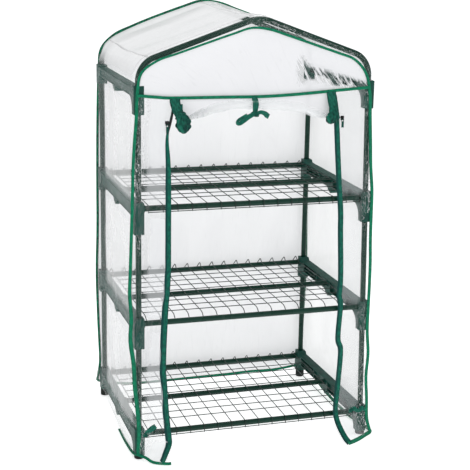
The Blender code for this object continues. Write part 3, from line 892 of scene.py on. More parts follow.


# How strongly the film is gathered also sets how many painted glints and how much painted crease shade it
# shows there.
GATHERS = (  # place and reach where the film is bunched or pulled tight over the frame, and how strongly
    ((-0.335, -0.262, 0.845), (0.022, 0.03, 0.095), 0.85),
    ((-0.335, -0.262, 0.63), (0.022, 0.03, 0.03), 0.6),
    ((-0.335, -0.262, 0.19), (0.022, 0.03, 0.11), 0.6),
    ((-0.33, -0.262, 0.04), (0.04, 0.05, 0.06), 0.7),
    ((0.335, -0.262, 0.82), (0.022, 0.03, 0.13), 0.85),
    ((0.335, -0.262, 0.68), (0.03, 0.03, 0.06), 0.55),
    ((0.335, -0.262, 0.37), (0.03, 0.03, 0.05), 0.65),
    ((0.335, -0.262, 0.19), (0.028, 0.03, 0.11), 0.7),
    ((0.335, -0.262, 0.05), (0.035, 0.04, 0.06), 0.75),
    ((0.33, -0.262, 1.02), (0.035, 0.04, 0.06), 0.75),
    ((-0.325, -0.262, 1.02), (0.03, 0.04, 0.06), 0.55),
    ((0.215, -0.2605, 1.061), (0.095, 0.02, 0.03), 0.5),
    ((-0.185, -0.278, 0.974), (0.04, 0.03, 0.026), 1.0),
    ((0.182, -0.278, 0.966), (0.026, 0.03, 0.02), 1.0),
    ((-0.11, -0.278, 0.988), (0.06, 0.02, 0.01), 0.55),
    ((0.07, -0.255, 1.2), (0.12, 0.02, 0.04), 0.8),
    ((0.23, -0.255, 1.14), (0.1, 0.02, 0.04), 0.55),
    ((-0.348, 0.0, 1.04), (0.02, 0.28, 0.045), 0.26),
    ((-0.348, 0.02, 0.72), (0.02, 0.3, 0.06), 0.36),
    ((-0.348, 0.02, 0.4), (0.02, 0.3, 0.08), 0.42),
    ((-0.348, 0.0, 0.06), (0.03, 0.3, 0.09), 0.45),
    ((-0.348, 0.24, 0.6), (0.02, 0.04, 0.6), 0.28),
    ((0.348, 0.02, 1.04), (0.03, 0.28, 0.05), 0.8),
    ((0.3, 0.02, 1.1), (0.07, 0.2, 0.05), 0.35),
)


def bunching(place):
    """How strongly the film is gathered at a place, 0 to 1."""
    total = 0.0
    seen = (place.x, place.y - MIDDLE_Y, place.z)
    for centre, reach, strength in GATHERS:
        away = sum(((p - c) / r) ** 2 for p, c, r in zip(seen, centre, reach))
        total += strength * math.exp(-away)
    return min(total, 1.0)


def frame_lines():
    """The frame's tubes and brackets as straight stretches: two ends and a half thickness each."""
    lines = []
    for x in (-POST_X, POST_X):
        for y in (-HALF_DEPTH, HALF_DEPTH):
            corner = x > 0 > y
            feet_x, top_x = (x + lean(0), x + lean(1.06)) if corner else (x, x)
            lines.append((at(feet_x, y, 0), at(top_x, y, 1.06), TUBE))
        for z in LEVELS:
            front_x = x + lean(z) if x > 0 else x
            lines.append((at(front_x, -HALF_DEPTH, z - 0.007), at(x, HALF_DEPTH, z - 0.007), 0.016))
            for y, reach in ((-HALF_DEPTH, 0.062), (HALF_DEPTH, 0.045)):
                socket_x = front_x if y < 0 else x
                lines.append((at(socket_x, y, z - reach), at(socket_x, y, z + 0.01), 0.0135))
    for y in (-HALF_DEPTH, HALF_DEPTH):
        for z in LEVELS[:3]:
            lines.append((at(-POST_X, y, z), at(POST_X, y, z), TUBE))
        arch = [
            (-0.332, 1.05), (-0.328, 1.085), (-0.305, 1.108),
            (0, 1.2265), (0.305, 1.108), (0.328, 1.085),
        ]
        for (x0, z0), (x1, z1) in zip(arch, arch[1:]):
            lines.append((at(x0, y, z0), at(x1, y, z1), TUBE))
    return lines


def clearance(place, lines):
    """How far a place is from the nearest part of the frame."""
    near = 1.0
    for a, b, half in lines:
        span = b - a
        share = min(max((place - a).dot(span) / span.length_squared, 0.0), 1.0)
        near = min(near, (place - a - span * share).length - half)
    return near


FRAME_LINES = frame_lines()


def new_piece(name, places, faces, material):
    """A smooth mesh of the given places and faces, with its object and its material."""
    data = bpy.data.meshes.new(name)
    data.from_pydata(places, [], faces)
    data.polygons.foreach_set("use_smooth", [True] * len(faces))
    data.materials.append(MATERIALS[material])
    obj = bpy.data.objects.new(name, data)
    bpy.context.scene.collection.objects.link(obj)
    return obj, data


def sheet_mesh(name, rows, material, slant=0.0, near=(0.01, 0.021), clear_at=None):
    """A single sheet through a net of places.

    It keeps its bunching, where it lies on the frame, and its own lengths along and across in metres,
    turned by slant. clear_at says how clear a place is, given how much it touches."""
    across = len(rows[0])
    flat = [p for row in rows for p in row]
    faces = [
        (r * across + c, r * across + c + 1, (r + 1) * across + c + 1, (r + 1) * across + c)
        for r in range(len(rows) - 1)
        for c in range(across - 1)
    ]
    obj, data = new_piece(name, flat, faces, material)
    bunch = [bunching(p) for p in flat]
    data.attributes.new("bunch", "FLOAT", "POINT").data.foreach_set("value", bunch)
    touch = [1 - share_of(clearance(p, FRAME_LINES), *near) for p in flat]
    if clear_at:
        touch = [clear_at(p - Vector((0, MIDDLE_Y, 0)), held) for p, held in zip(flat, touch)]
    data.attributes.new("touch", "FLOAT", "POINT").data.foreach_set("value", touch)
    middle_row, middle_column = rows[len(rows) // 2], [row[across // 2] for row in rows]
    along, aside = [0.0], [0.0]
    for a, b in zip(middle_row, middle_row[1:]):
        along.append(along[-1] + (b - a).length)
    for a, b in zip(middle_column, middle_column[1:]):
        aside.append(aside[-1] + (b - a).length)
    c, s = math.cos(slant), math.sin(slant)
    uv = data.uv_layers.new(name="lie")
    for loop in data.loops:
        row, column = divmod(loop.vertex_index, across)
        u, v = aside[row], along[column]
        uv.data[loop.index].uv = (c * u - s * v, s * u + c * v)
    obj.visible_shadow = False
    obj.visible_diffuse = False
    return obj


def ripple(place, size, height, seed=0.0):
    """A smooth push, at most about height, that changes over about size."""
    return height * noise.noise(Vector((place.x / size + seed, place.y / size, place.z / size)))


TAPE_SECTION = 12  # corners of a tape's cross section
BINDING_THICK, EAVES_THICK, ZIP_THICK, HEM_THICK, STRAP_THICK = 0.003, 0.0022, 0.002, 0.0026, 0.0013


def tape_mesh(name, path, widths, thick, facing, material, count=120):
    """A flat tape along a path. It faces one direction, or one for each point of the path."""
    line = curve_through(path, count)
    if not isinstance(widths, (list, tuple)):
        widths = [widths] * len(path)
    if isinstance(facing, Vector):
        facing = [facing] * len(path)
    verts, spans, along = [], [], 0.0
    for i, place in enumerate(line):
        share = i / (count - 1) * (len(path) - 1)
        k = min(int(share), len(path) - 2)
        width = widths[k] + (widths[k + 1] - widths[k]) * (share - k)
        face = facing[k].lerp(facing[k + 1], share - k).normalized()
        ahead = (line[min(i + 1, count - 1)] - line[max(i - 1, 0)]).normalized()
        across = ahead.cross(face).normalized()
        face = across.cross(ahead).normalized()
        if i:
            along += (place - line[i - 1]).length
        for j in range(TAPE_SECTION):
            angle = 2 * math.pi * j / TAPE_SECTION
            c, s = math.cos(angle), math.sin(angle)
            u = math.copysign(abs(c) ** 0.55, c) * width / 2
            w = math.copysign(abs(s) ** 0.7, s) * thick / 2
            verts.append(place + across * u + face * w)
            spans.append((u, along))
    faces = []
    for i in range(count - 1):
        for j in range(TAPE_SECTION):
            a, b = i * TAPE_SECTION + j, i * TAPE_SECTION + (j + 1) % TAPE_SECTION
            faces.append((a, b, b + TAPE_SECTION, a + TAPE_SECTION))
    faces.append(tuple(reversed(range(TAPE_SECTION))))
    faces.append(tuple(range((count - 1) * TAPE_SECTION, count * TAPE_SECTION)))
    obj, data = new_piece(name, verts, faces, material)
    uv = data.uv_layers.new(name="tape")
    for loop in data.loops:
        uv.data[loop.index].uv = spans[loop.vertex_index]
    take(obj)
    edit()
    clean_up()
    return smooth(obj, 70)


# Lines of the cover, as x and z from the frame's middle. The walls end, and the roof begins, at the eaves.
FRONT_FACE_Y, REAR_FACE_Y = -0.2605, 0.264
FRONT_LEFT_LEG = [
    (-0.338, 0.016), (-0.339, 0.049), (-0.333, 0.121), (-0.345, 0.177), (-0.347, 0.249),
    (-0.353, 0.32), (-0.363, 0.391), (-0.356, 0.415), (-0.36, 0.485), (-0.358, 0.557),
    (-0.352, 0.733), (-0.348, 0.871), (-0.342, 0.935), (-0.34, 0.979), (-0.338, 1.026),
]
FRONT_LEFT_ROOF = [
    (-0.338, 1.026), (-0.333, 1.073), (-0.323, 1.092), (-0.306, 1.11), (-0.279, 1.121),
    (-0.183, 1.153), (-0.113, 1.176), (-0.043, 1.198), (-0.008, 1.206),
]
FRONT_RIGHT_ROOF = [
    (-0.008, 1.206), (0.02, 1.199), (0.087, 1.178), (0.165, 1.152), (0.228, 1.131),
    (0.268, 1.116), (0.293, 1.097), (0.308, 1.071), (0.319, 1.036),
]
FRONT_RIGHT_LEG = [
    (0.319, 1.036), (0.322, 0.982), (0.327, 0.907), (0.334, 0.792), (0.34, 0.734),
    (0.341, 0.623), (0.345, 0.509), (0.345, 0.33), (0.351, 0.261), (0.347, 0.205),
    (0.355, 0.084), (0.352, 0.068), (0.366, 0.021), (0.37, 0.005),
]
REAR_LEFT_LEG = [
    (-0.353, 0.043), (-0.355, 0.073), (-0.343, 0.1), (-0.347, 0.25), (-0.35, 0.4),
    (-0.346, 0.55), (-0.345, 0.698), (-0.343, 0.853), (-0.34, 0.945), (-0.336, 1.032),
]
REAR_LEFT_ROOF = [
    (-0.336, 1.032), (-0.328, 1.095), (-0.311, 1.122), (-0.275, 1.145), (-0.179, 1.185),
    (-0.055, 1.228), (-0.02, 1.2375), (0.0, 1.2395),
]
LEG_STEPS, ROOF_STEPS = 90, 46


def mirrored(line):
    return [(-x, z) for x, z in reversed(line)]


def rim_line(parts, y):
    """The parts of a rim, left leg, left roof, right roof and right leg, as one line of even places."""
    out = []
    for part, steps in zip(parts, (LEG_STEPS, ROOF_STEPS, ROOF_STEPS, LEG_STEPS)):
        places = curve_through([at(x, y, z) for x, z in part], steps)
        out += places if not out else places[1:]
    return out


def tube_rim(y, out):
    """The same line over the frame itself, out from the tube centres."""
    sine, cosine = math.sin(ROOF_ANGLE), math.cos(ROOF_ANGLE)
    shoulder = ((RIDGE_Z - SHOULDER_Z) * cosine - POST_X * sine) / (1 - sine)
    turned = math.degrees(ROOF_ANGLE)
    leg = [(-POST_X - out, 0.003), (-POST_X - out, 0.35), (-POST_X - out, 0.7), (-POST_X - out, 1.03)]
    roof = [(-POST_X - out, 1.03)]
    roof += arc(-POST_X + shoulder, SHOULDER_Z, shoulder + out, 180, 90 + turned, 8)
    roof += arc(0, RIDGE_Z - APEX_RADIUS / cosine, APEX_RADIUS + out, 90 + turned, 90, 3)
    return rim_line([leg, roof, mirrored(roof), mirrored(leg)], y)


FRONT_RIM = rim_line([FRONT_LEFT_LEG, FRONT_LEFT_ROOF, FRONT_RIGHT_ROOF, FRONT_RIGHT_LEG], FRONT_FACE_Y)
REAR_RIGHT = [mirrored(REAR_LEFT_ROOF), mirrored(REAR_LEFT_LEG)]
REAR_RIM = rim_line([REAR_LEFT_LEG, REAR_LEFT_ROOF, *REAR_RIGHT], REAR_FACE_Y)
ROOF_START, ROOF_END = LEG_STEPS - 1, LEG_STEPS + 2 * ROOF_STEPS - 3


FRONT_ROW_Y, REAR_ROW_Y = -0.24, 0.242
WALL_OUT, CROWN_OUT = 0.0155, 0.0102
ROOF_SAG = 0.0065
WRAP_STEPS = 30


def wrap_clearness(place, touch):
    """The far wall lies loose on the frame, the back of the near wall is clear, and the roof is hazy and
    whitened with painted light.
    """
    loose = share_of(place.y, -0.235, -0.205)
    far = max(share_of(place.x, 0.2, 0.3), share_of(place.z, 1.06, 1.1)) * loose
    back = 0.8 * share_of(place.y, 0.1, 0.14) * share_of(-place.x, 0.325, 0.335)
    edge = back * share_of(1.075 - place.z, 0, 0.02)
    roof = share_of(place.z, 1.075, 1.105) * loose
    return max(touch * (1 - 0.92 * far), edge) * (1 - roof) - 0.8 * roof


def wrap_sheet():
    """One piece of film: up the left wall, over the roof and down the right wall."""
    walls, crown = tube_rim(0.0, WALL_OUT), tube_rim(0.0, CROWN_OUT)
    roof = [share_of(p.z, 1.04, 1.095) for p in walls]
    over = [a.lerp(b, share) for a, b, share in zip(walls, crown, roof)]

    def leaning(i, t):
        place = over[i].copy()
        place.x += lean(min(place.z, SHOULDER_Z)) * (1 - t) * max(place.x, 0) / POST_X
        place.y = at(0, FRONT_ROW_Y + (REAR_ROW_Y - FRONT_ROW_Y) * t, 0).y
        return place

    tops, flares = [], []
    for i, edge in enumerate(FRONT_RIM):
        low = 1 - share_of(over[i].z, 0.003, 0.163)
        plain = leaning(i, 0.0)
        flares.append(Vector(((edge.x - plain.x) * low, 0, (edge.z - 0.003) * low * low * 0.5)))
        tops.append(plain + flares[-1])
    rows = []
    for t in (0.0, 0.2, 0.4, 0.6, 0.8, 1.0):
        corners = [Vector((top.x, edge.y, top.z)) for edge, top in zip(FRONT_RIM, tops)]
        rim = zip(FRONT_RIM, corners, tops)
        rows.append([a * (1 - t) ** 2 + b * 2 * t * (1 - t) + c * t * t for a, b, c in rim])
    for step in range(1, WRAP_STEPS):
        t = step / WRAP_STEPS
        free = math.sin(math.pi * t)
        row = []
        for i in range(len(over)):
            place = leaning(i, t) + flares[i] * max(0.0, 1 - 4 * t) ** 2
            wall = 1 - roof[i]
            push = abs(ripple(place, 0.16, 0.006) + ripple(place, 0.05, 0.0022, 3.0))
            low = 1 - share_of(over[i].z, 0.003, 0.123)
            rise = low * low * 0.034 * t * t * (3 - 2 * t)
            place.x += math.copysign(push, place.x) * free * wall
            place.z += rise + (ripple(place, 0.11, 0.0035) - ROOF_SAG) * free * roof[i]
            row.append(place)
        rows.append(row)
    rows.append([p.copy() for p in REAR_RIM])
    return sheet_mesh("wrap_film", rows, "film_side", clear_at=wrap_clearness)


EAVES = [
    (-0.338, 1.03), (-0.285, 1.0245), (-0.243, 1.0215), (-0.12, 1.0205), (0.0, 1.0195), (0.08, 1.022),
    (0.156, 1.0265), (0.21, 1.0305), (0.27, 1.0345), (0.319, 1.038),
]


def gable_clearness(place, touch):
    """A pulled patch near the right shoulder, where the bracket behind shows between the creases."""
    across = place.z - 1.0865 + 0.27 * (place.x - 0.119)
    half = 0.0165 + 0.02 * math.exp(-(((place.x - 0.117) / 0.014) ** 2))
    along = share_of(place.x, 0.104, 0.116) * share_of(0.33 - place.x, 0, 0.012)
    return along * math.exp(-((across / half) ** 6))  # wherever the sheet touches, so touch isn't used


def gable_sheet():
    roof = FRONT_RIM[ROOF_START : ROOF_END + 1]
    eaves = curve_through([at(x, FRONT_FACE_Y, z) for x, z in EAVES], len(roof))
    rows = []
    for step in range(17):
        t = step / 16
        row = [a.lerp(b, t) for a, b in zip(eaves, roof)]
        for i, p in enumerate(row):
            free = math.sin(math.pi * t) * math.sin(math.pi * i / (len(row) - 1))
            p.y += free * (0.004 + ripple(p, 0.12, 0.004))
        rows.append(row)
    return sheet_mesh("front_gable_film", rows, "film_gable", math.radians(-62), clear_at=gable_clearness)


# Inner edges of the two front strips: x, y, z of the zip tapes
TAPE_LEFT = [
    (-0.24, -0.2625, 1.014), (-0.244, -0.263, 0.979), (-0.2565, -0.2625, 0.919), (-0.254, -0.262, 0.85),
    (-0.253, -0.262, 0.79), (-0.253, -0.262, 0.59), (-0.255, -0.262, 0.513), (-0.262, -0.262, 0.418),
    (-0.267, -0.262, 0.277), (-0.264, -0.2625, 0.223), (-0.258, -0.263, 0.131), (-0.251, -0.266, 0.06),
    (-0.252, -0.272, 0.04), (-0.269, -0.295, 0.019), (-0.282, -0.315, 0.009),
]
TAPE_RIGHT = [
    (0.213, -0.2625, 1.018), (0.221, -0.263, 0.975), (0.225, -0.2625, 0.936), (0.232, -0.262, 0.849),
    (0.239, -0.262, 0.77), (0.247, -0.262, 0.687), (0.249, -0.262, 0.628), (0.255, -0.262, 0.496),
    (0.253, -0.262, 0.439), (0.258, -0.262, 0.409), (0.254, -0.262, 0.312), (0.264, -0.262, 0.272),
    (0.26, -0.262, 0.174), (0.255, -0.263, 0.094), (0.26, -0.27, 0.054), (0.272, -0.298, 0.018),
    (0.281, -0.318, 0.004),
]
LEFT_WIDTHS = [0.006, 0.006, 0.013, 0.016, 0.0165, 0.0165, 0.0175, 0.0185] + [0.019] * 7
STRIP_HEMS = {  # from the corner of the wall to the foot of the tape
    "left": [
        (-0.338, -0.2605, 0.016), (-0.321, -0.279, 0.012), (-0.305, -0.299, 0.005), (-0.282, -0.315, 0.007)
    ],
    "right": [(0.37, -0.2605, 0.005), (0.345, -0.276, 0.004), (0.312, -0.3, 0.004), (0.281, -0.318, 0.004)],
}


def strip_clearness(place, touch):
    """The left strip is pressed clear over the end of the base tie."""
    tie = math.exp(-(((place.x + 0.299) / 0.03) ** 4) - ((place.z - 0.088) / 0.026) ** 4)
    return max(touch, tie)


def strip_sheet(side):
    """Film between the corner of the cover and a zip tape, with its flared foot."""
    count = 100
    tape = curve_through([at(*p) for p in reversed(TAPE_LEFT if side == "left" else TAPE_RIGHT)], count)
    leg = FRONT_RIM[:LEG_STEPS] if side == "left" else FRONT_RIM[:-LEG_STEPS - 1:-1]
    leg = curve_through(leg, count)
    hem = curve_through([at(*p) for p in STRIP_HEMS[side]], 13)
    rows = []
    for i in range(count):
        row = []
        for j in range(13):
            s = j / 12
            p = leg[i].lerp(tape[i], s)
            foot = hem[j] - leg[0].lerp(tape[0], s)
            p = p + foot * max(0.0, 1 - i / 16) ** 2
            free = math.sin(math.pi * s)
            p.y += free * (ripple(p, 0.06, 0.006, 5.0) - 0.002)
            row.append(p)
        rows.append(row)
    rows = [list(line) for line in zip(*rows)]
    return sheet_mesh(f"{side}_strip_film", rows, f"film_{side}", clear_at=strip_clearness)


BACK_HEM = [
    (-0.353, 0.043), (-0.27, 0.024), (-0.18, 0.0195), (-0.05, 0.021), (0.08, 0.022), (0.16, 0.024),
    (0.25, 0.023), (0.325, 0.032), (0.353, 0.043),
]


def back_sheet():
    """The back panel: a net held by the two rear legs, the hem and the roof line."""
    left = REAR_RIM[:LEG_STEPS]
    right = REAR_RIM[:-LEG_STEPS - 1:-1]
    top = REAR_RIM[ROOF_START : ROOF_END + 1]
    bottom = curve_through([at(x, REAR_FACE_Y, z) for x, z in BACK_HEM], len(top))
    rows = []
    for i, (a, b) in enumerate(zip(left, right)):
        v = i / (LEG_STEPS - 1)
        row = []
        for j in range(0, len(top), 2):
            u = j / (len(top) - 1)
            ruled = a.lerp(b, u) + bottom[j].lerp(top[j], v)
            flat = left[0].lerp(right[0], u) * (1 - v) + left[-1].lerp(right[-1], u) * v
            p = ruled - flat
            free = math.sin(math.pi * u) * math.sin(math.pi * v)
            p.y += free * (0.003 + ripple(p, 0.18, 0.004, 9.0))
            row.append(p)
        rows.append(row)
    return sheet_mesh("back_film", [list(line) for line in zip(*rows)], "film_back", near=(0.002, 0.007))


def outline(rim, start, end, lift):
    """Part of a rim, moved along Y, thinned to a few places for a tape to follow."""
    return [p + Vector((0, lift, 0)) for p in rim[start:end:6]] + [rim[end - 1] + Vector((0, lift, 0))]


def cover():
    wrap, gable, back = wrap_sheet(), gable_sheet(), back_sheet()
    strips = {side: strip_sheet(side) for side, _ in SIDES}
    last = len(FRONT_RIM)
    outward = Vector((0, -1, 0))
    front_line = outline(FRONT_RIM, 0, last, -0.0022)
    roof_share = [share_of(p.z, 1.09, 1.13) for p in front_line]
    leg_widths = [0.009 + 0.0035 * share_of(0.6 - p.z, 0, 0.25) if p.x < 0 else 0.01 for p in front_line]
    front_widths = [wide - 0.003 * share for wide, share in zip(leg_widths, roof_share)]
    front_tape = tape_mesh(
        "front_edge_tape", front_line, front_widths, BINDING_THICK, outward, "binding", 420
    )
    rear_line = outline(REAR_RIM, 0, last, 0.0012)
    share = [i / (len(rear_line) - 1) for i in range(len(rear_line))]
    rear_widths = [
        0.009 + 0.0045 * share_of(s, 0.3, 0.36) - 0.0075 * share_of(s, 0.49, 0.54) for s in share
    ]
    rear_tape = tape_mesh(
        "rear_edge_tape", rear_line, rear_widths, BINDING_THICK, outward, "rear_binding", 420
    )
    eaves_line = [at(x, FRONT_FACE_Y - 0.0048, z) for x, z in EAVES]
    eaves_tape = tape_mesh("eaves_tape", eaves_line, 0.0085, EAVES_THICK, outward, "binding", 160)
    tapes = {}
    for side, line, widths in (("left", TAPE_LEFT, LEFT_WIDTHS), ("right", TAPE_RIGHT, 0.0166)):
        path = [at(*p) for p in line]
        tapes[side] = tape_mesh(f"{side}_zip_tape", path, widths, ZIP_THICK, outward, "tape", 260)
    coil = [
        at(-0.2415, -0.2652, 0.99), at(-0.245, -0.265, 0.97), at(-0.252, -0.2645, 0.942),
        at(-0.256, -0.2642, 0.926),
    ]
    coil_widths = [0.0045, 0.006, 0.0065, 0.005]
    zip_end = tape_mesh("left_zip_end", coil, coil_widths, 0.0022, outward, "zip_metal", 50)
    up = Vector((0, -0.8, 0.6))
    left_hem = [
        at(-0.3475, -0.05, 0.006), at(-0.3485, -0.12, 0.006), at(-0.349, -0.185, 0.009),
        at(-0.348, -0.24, 0.014), at(-0.341, -0.263, 0.017), at(-0.321, -0.28, 0.013),
        at(-0.303, -0.301, 0.006), at(-0.2705, -0.3165, 0.005), at(-0.256, -0.3185, 0.005),
    ]
    right_hem = [
        at(0.277, -0.32, 0.005), at(0.312, -0.302, 0.005), at(0.345, -0.278, 0.005),
        at(0.371, -0.258, 0.006), at(0.3735, -0.235, 0.006), at(0.366, -0.19, 0.006),
        at(0.356, -0.1, 0.005), at(0.352, 0.05, 0.012), at(0.352, 0.2, 0.032), at(0.354, 0.262, 0.043),
    ]
    back_hem = [at(x, REAR_FACE_Y, z) for x, z in BACK_HEM]
    hems = [
        tape_mesh("left_hem_tape", left_hem, 0.0085, HEM_THICK, up, "binding", 120),
        tape_mesh("right_hem_tape", right_hem, 0.0118, HEM_THICK, up, "binding", 160),
        tape_mesh("back_hem_tape", back_hem, 0.0085, HEM_THICK, outward, "binding", 160),
    ]
    belong(wrap, "cover", "film", "wall_left", "wall_right", "roof_left", "roof_right")
    belong(gable, "cover", "film", "front_gable")
    belong(back, "cover", "film", "back_panel")
    for side in strips:
        belong(strips[side], "cover", "film", f"front_strip_{side}")
        belong(tapes[side], "cover", "tape", f"zip_tape_{side}")
    for piece, name in ((front_tape, "front"), (rear_tape, "rear"), (eaves_tape, "eaves")):
        belong(piece, "cover", "binding", f"{name}_binding")
    for piece in hems:
        belong(piece, "cover", "binding")
    belong(zip_end, "cover", "zip_metal")


# ---------------------------------------------------------------- rolled door

ROLL_LINE = [
    (-0.232, 0.964), (-0.205, 0.968), (-0.165, 0.982), (-0.116, 0.996), (-0.061, 1.003), (-0.012, 0.999),
    (0.052, 0.997), (0.11, 0.988), (0.16, 0.97), (0.195, 0.964), (0.226, 0.964),
]
ROLL_Y = -0.276
ROLL_CORE, ROLL_OUT, ROLL_TURNS = 0.0044, 0.013, 15


def door_roll():
    """The door film wound into a loose roll, thin where the straps and the tie draw it in."""
    count, around = 120, 22
    line = curve_through([at(x, ROLL_Y, z) for x, z in ROLL_LINE], count)
    rows = []
    for i, centre in enumerate(line):
        s = i / (count - 1)
        pinch = 1.0
        for depth, where, reach in ((0.5, 0.06, 0.06), (0.45, 0.93, 0.06), (0.22, 0.475, 0.03)):
            pinch -= depth * math.exp(-(((s - where) / reach) ** 2))
        row = []
        for k in range(ROLL_TURNS * around + 1):
            angle = 2 * math.pi * k / around
            share = k / (ROLL_TURNS * around)
            wander = noise.noise(Vector((s * 13, math.cos(angle) * 0.9, math.sin(angle) * 0.9 + 4)))
            radius = (ROLL_CORE + (ROLL_OUT - ROLL_CORE) * share) * pinch * (1 + 0.22 * wander)
            row.append(centre + Vector((0, math.cos(angle) * radius, math.sin(angle) * radius * 1.1)))
        rows.append(row)
    return sheet_mesh("rolled_door_film", rows, "film_roll", clear_at=lambda place, touch: 0.0)


def door_flap():
    """What still hangs of the door between the eaves and the back of the roll."""
    count, hang = 60, 8
    low = curve_through([at(x, ROLL_Y + 0.01, z - 0.004) for x, z in ROLL_LINE], count)
    high = curve_through([at(x, FRONT_FACE_Y - 0.0015, z - 0.003) for x, z in EAVES[2:8]], count)
    rows = [[a.lerp(b, k / hang) for a, b in zip(low, high)] for k in range(hang + 1)]
    return sheet_mesh("door_flap_film", rows, "film_gable", clear_at=lambda place, touch: 0.0)


def strap(name, x, width, low, top, pulled):
    """A flat strap from the eaves down the front of the roll, pulled sideways under it and up behind."""
    path = [
        at(x, -0.2672, top), at(x, -0.27, top - 0.01), at(x + pulled * 0.1, -0.28, 0.997),
        at(x + pulled * 0.45, -0.288, 0.982), at(x + pulled, -0.289, 0.967),
        at(x + pulled, -0.281, low), at(x + pulled, -0.273, low),
        at(x + pulled, -0.269, 0.964), at(x + pulled, -0.2675, 0.985), at(x + pulled, -0.267, 1.005),
    ]
    faces = [
        Vector((0, -1, 0.1)), Vector((0, -1, 0.7)), Vector((0, -1, 0.3)), Vector((0, -1, 0)),
        Vector((0, -1, -0.4)), Vector((0, -0.5, -1)), Vector((0, 0.5, -1)), Vector((0, 1, -0.2)),
        Vector((0, 1, 0)), Vector((0, 1, 0)),
    ]
    widths = [width, width * 0.99, width * 0.97, width * 0.86, width * 0.6] + [width * 0.45] * 5
    return tape_mesh(name, path, widths, STRAP_THICK, faces, "strap", 90)


def bunch_of_tape(name, place, size, turn, folds=5, taper=0.3):
    """A gathered end: a ball pulled out into a drop and creased along its length."""
    bpy.ops.mesh.primitive_uv_sphere_add(segments=40, ring_count=24, radius=1.0, location=(0, 0, 0))
    obj = bpy.context.active_object
    for vert in obj.data.vertices:
        p = vert.co
        around = math.atan2(p.y, p.x)
        coarse = 0.2 * math.sin(folds * around + 3 * p.z)
        fine = 0.13 * math.sin((2 * folds + 1) * around - 5 * p.z)
        wide = (1 + coarse + fine) * (1 - taper * p.z)
        vert.co = Vector((p.x * wide, p.y * wide, p.z * (1 + 0.08 * math.sin(3 * around))))
    uv = obj.data.uv_layers[0]
    uv.name = "tape"
    for item in uv.data:
        item.uv = (item.uv[0] * 0.05, item.uv[1] * 0.05)
    obj.scale = size
    obj.rotation_euler = Euler(turn)
    obj.location = place
    settle(obj, name)
    smooth(obj, 60)
    obj.data.materials.append(MATERIALS["strap"])
    return obj


def loop_of_tape(name, points, widths, facing):
    return tape_mesh(name, [at(*p) for p in points], widths, 0.0016, facing, "strap", 60)


def door():
    roll, flap = door_roll(), door_flap()
    left = strap("left_door_strap", -0.2375, 0.029, 0.95, 1.02, 0.015)
    right = strap("right_door_strap", 0.2035, 0.0275, 0.952, 1.0285, 0.001)
    tie = [
        at(-0.017, -0.2672, 1.019), at(-0.0175, -0.274, 1.012), at(-0.019, -0.285, 1.006),
        at(-0.0215, -0.292, 0.998), at(-0.0225, -0.293, 0.988), at(-0.023, -0.292, 0.979),
    ]
    centre = tape_mesh("centre_tie", tie, [0.015, 0.018, 0.018, 0.0165, 0.015, 0.012], 0.0012,
                       Vector((0, -1, 0.35)), "strap", 50)
    facing = Vector((0, -1, 0.3))
    bows = [
        loop_of_tape(
            "left_bow_end",
            [(-0.018, -0.292, 0.979), (-0.03, -0.296, 0.9765), (-0.044, -0.296, 0.969),
             (-0.056, -0.294, 0.959), (-0.0645, -0.2925, 0.9525), (-0.072, -0.2925, 0.953),
             (-0.07, -0.2935, 0.961), (-0.06, -0.2945, 0.968), (-0.045, -0.2925, 0.976)],
            [0.009, 0.012, 0.013, 0.013, 0.011, 0.009, 0.0085, 0.0085, 0.007],
            facing,
        ),
        loop_of_tape(
            "right_bow_end",
            [(-0.024, -0.293, 0.976), (-0.018, -0.297, 0.98), (-0.008, -0.297, 0.982),
             (0.002, -0.2955, 0.979), (0.01, -0.2935, 0.973), (0.016, -0.2925, 0.969)],
            [0.008, 0.0095, 0.011, 0.0125, 0.0155, 0.014],
            facing,
        ),
        bunch_of_tape("bow_knot", at(-0.0225, -0.2945, 0.978), (0.0098, 0.005, 0.0078), (0, 0.4, 0)),
    ]
    drops = [
        bunch_of_tape(name, at(*place), size, (0, turn, 0), folds, taper)
        for name, place, size, turn, folds, taper in (
            ("left_strap_drop", (-0.2195, -0.29, 0.9575), (0.0172, 0.0105, 0.0262), -0.1, 7, 0.1),
            ("left_strap_fold", (-0.227, -0.289, 0.977), (0.013, 0.007, 0.012), -0.4, 5, 0.05),
            ("right_strap_drop", (0.2, -0.287, 0.962), (0.013, 0.009, 0.019), 0.25, 6, 0.3),
            ("right_strap_fold", (0.2105, -0.2875, 0.969), (0.009, 0.0075, 0.0215), -0.12, 5, 0.3),
        )
    ]
    belong(roll, "rolled_door", "film", "door_roll")
    belong(flap, "rolled_door", "film")
    belong(left, "rolled_door", "tape", "door_strap_left")
    belong(right, "rolled_door", "tape", "door_strap_right")
    belong(centre, "rolled_door", "tape", "door_tie_centre")
    for piece in bows + drops:
        belong(piece, "rolled_door", "tape")


# ---------------------------------------------------------------- zip sliders


SLIDER_SHIFT = 0.009  # how much nearer its tape the right slider stands than in the CAD


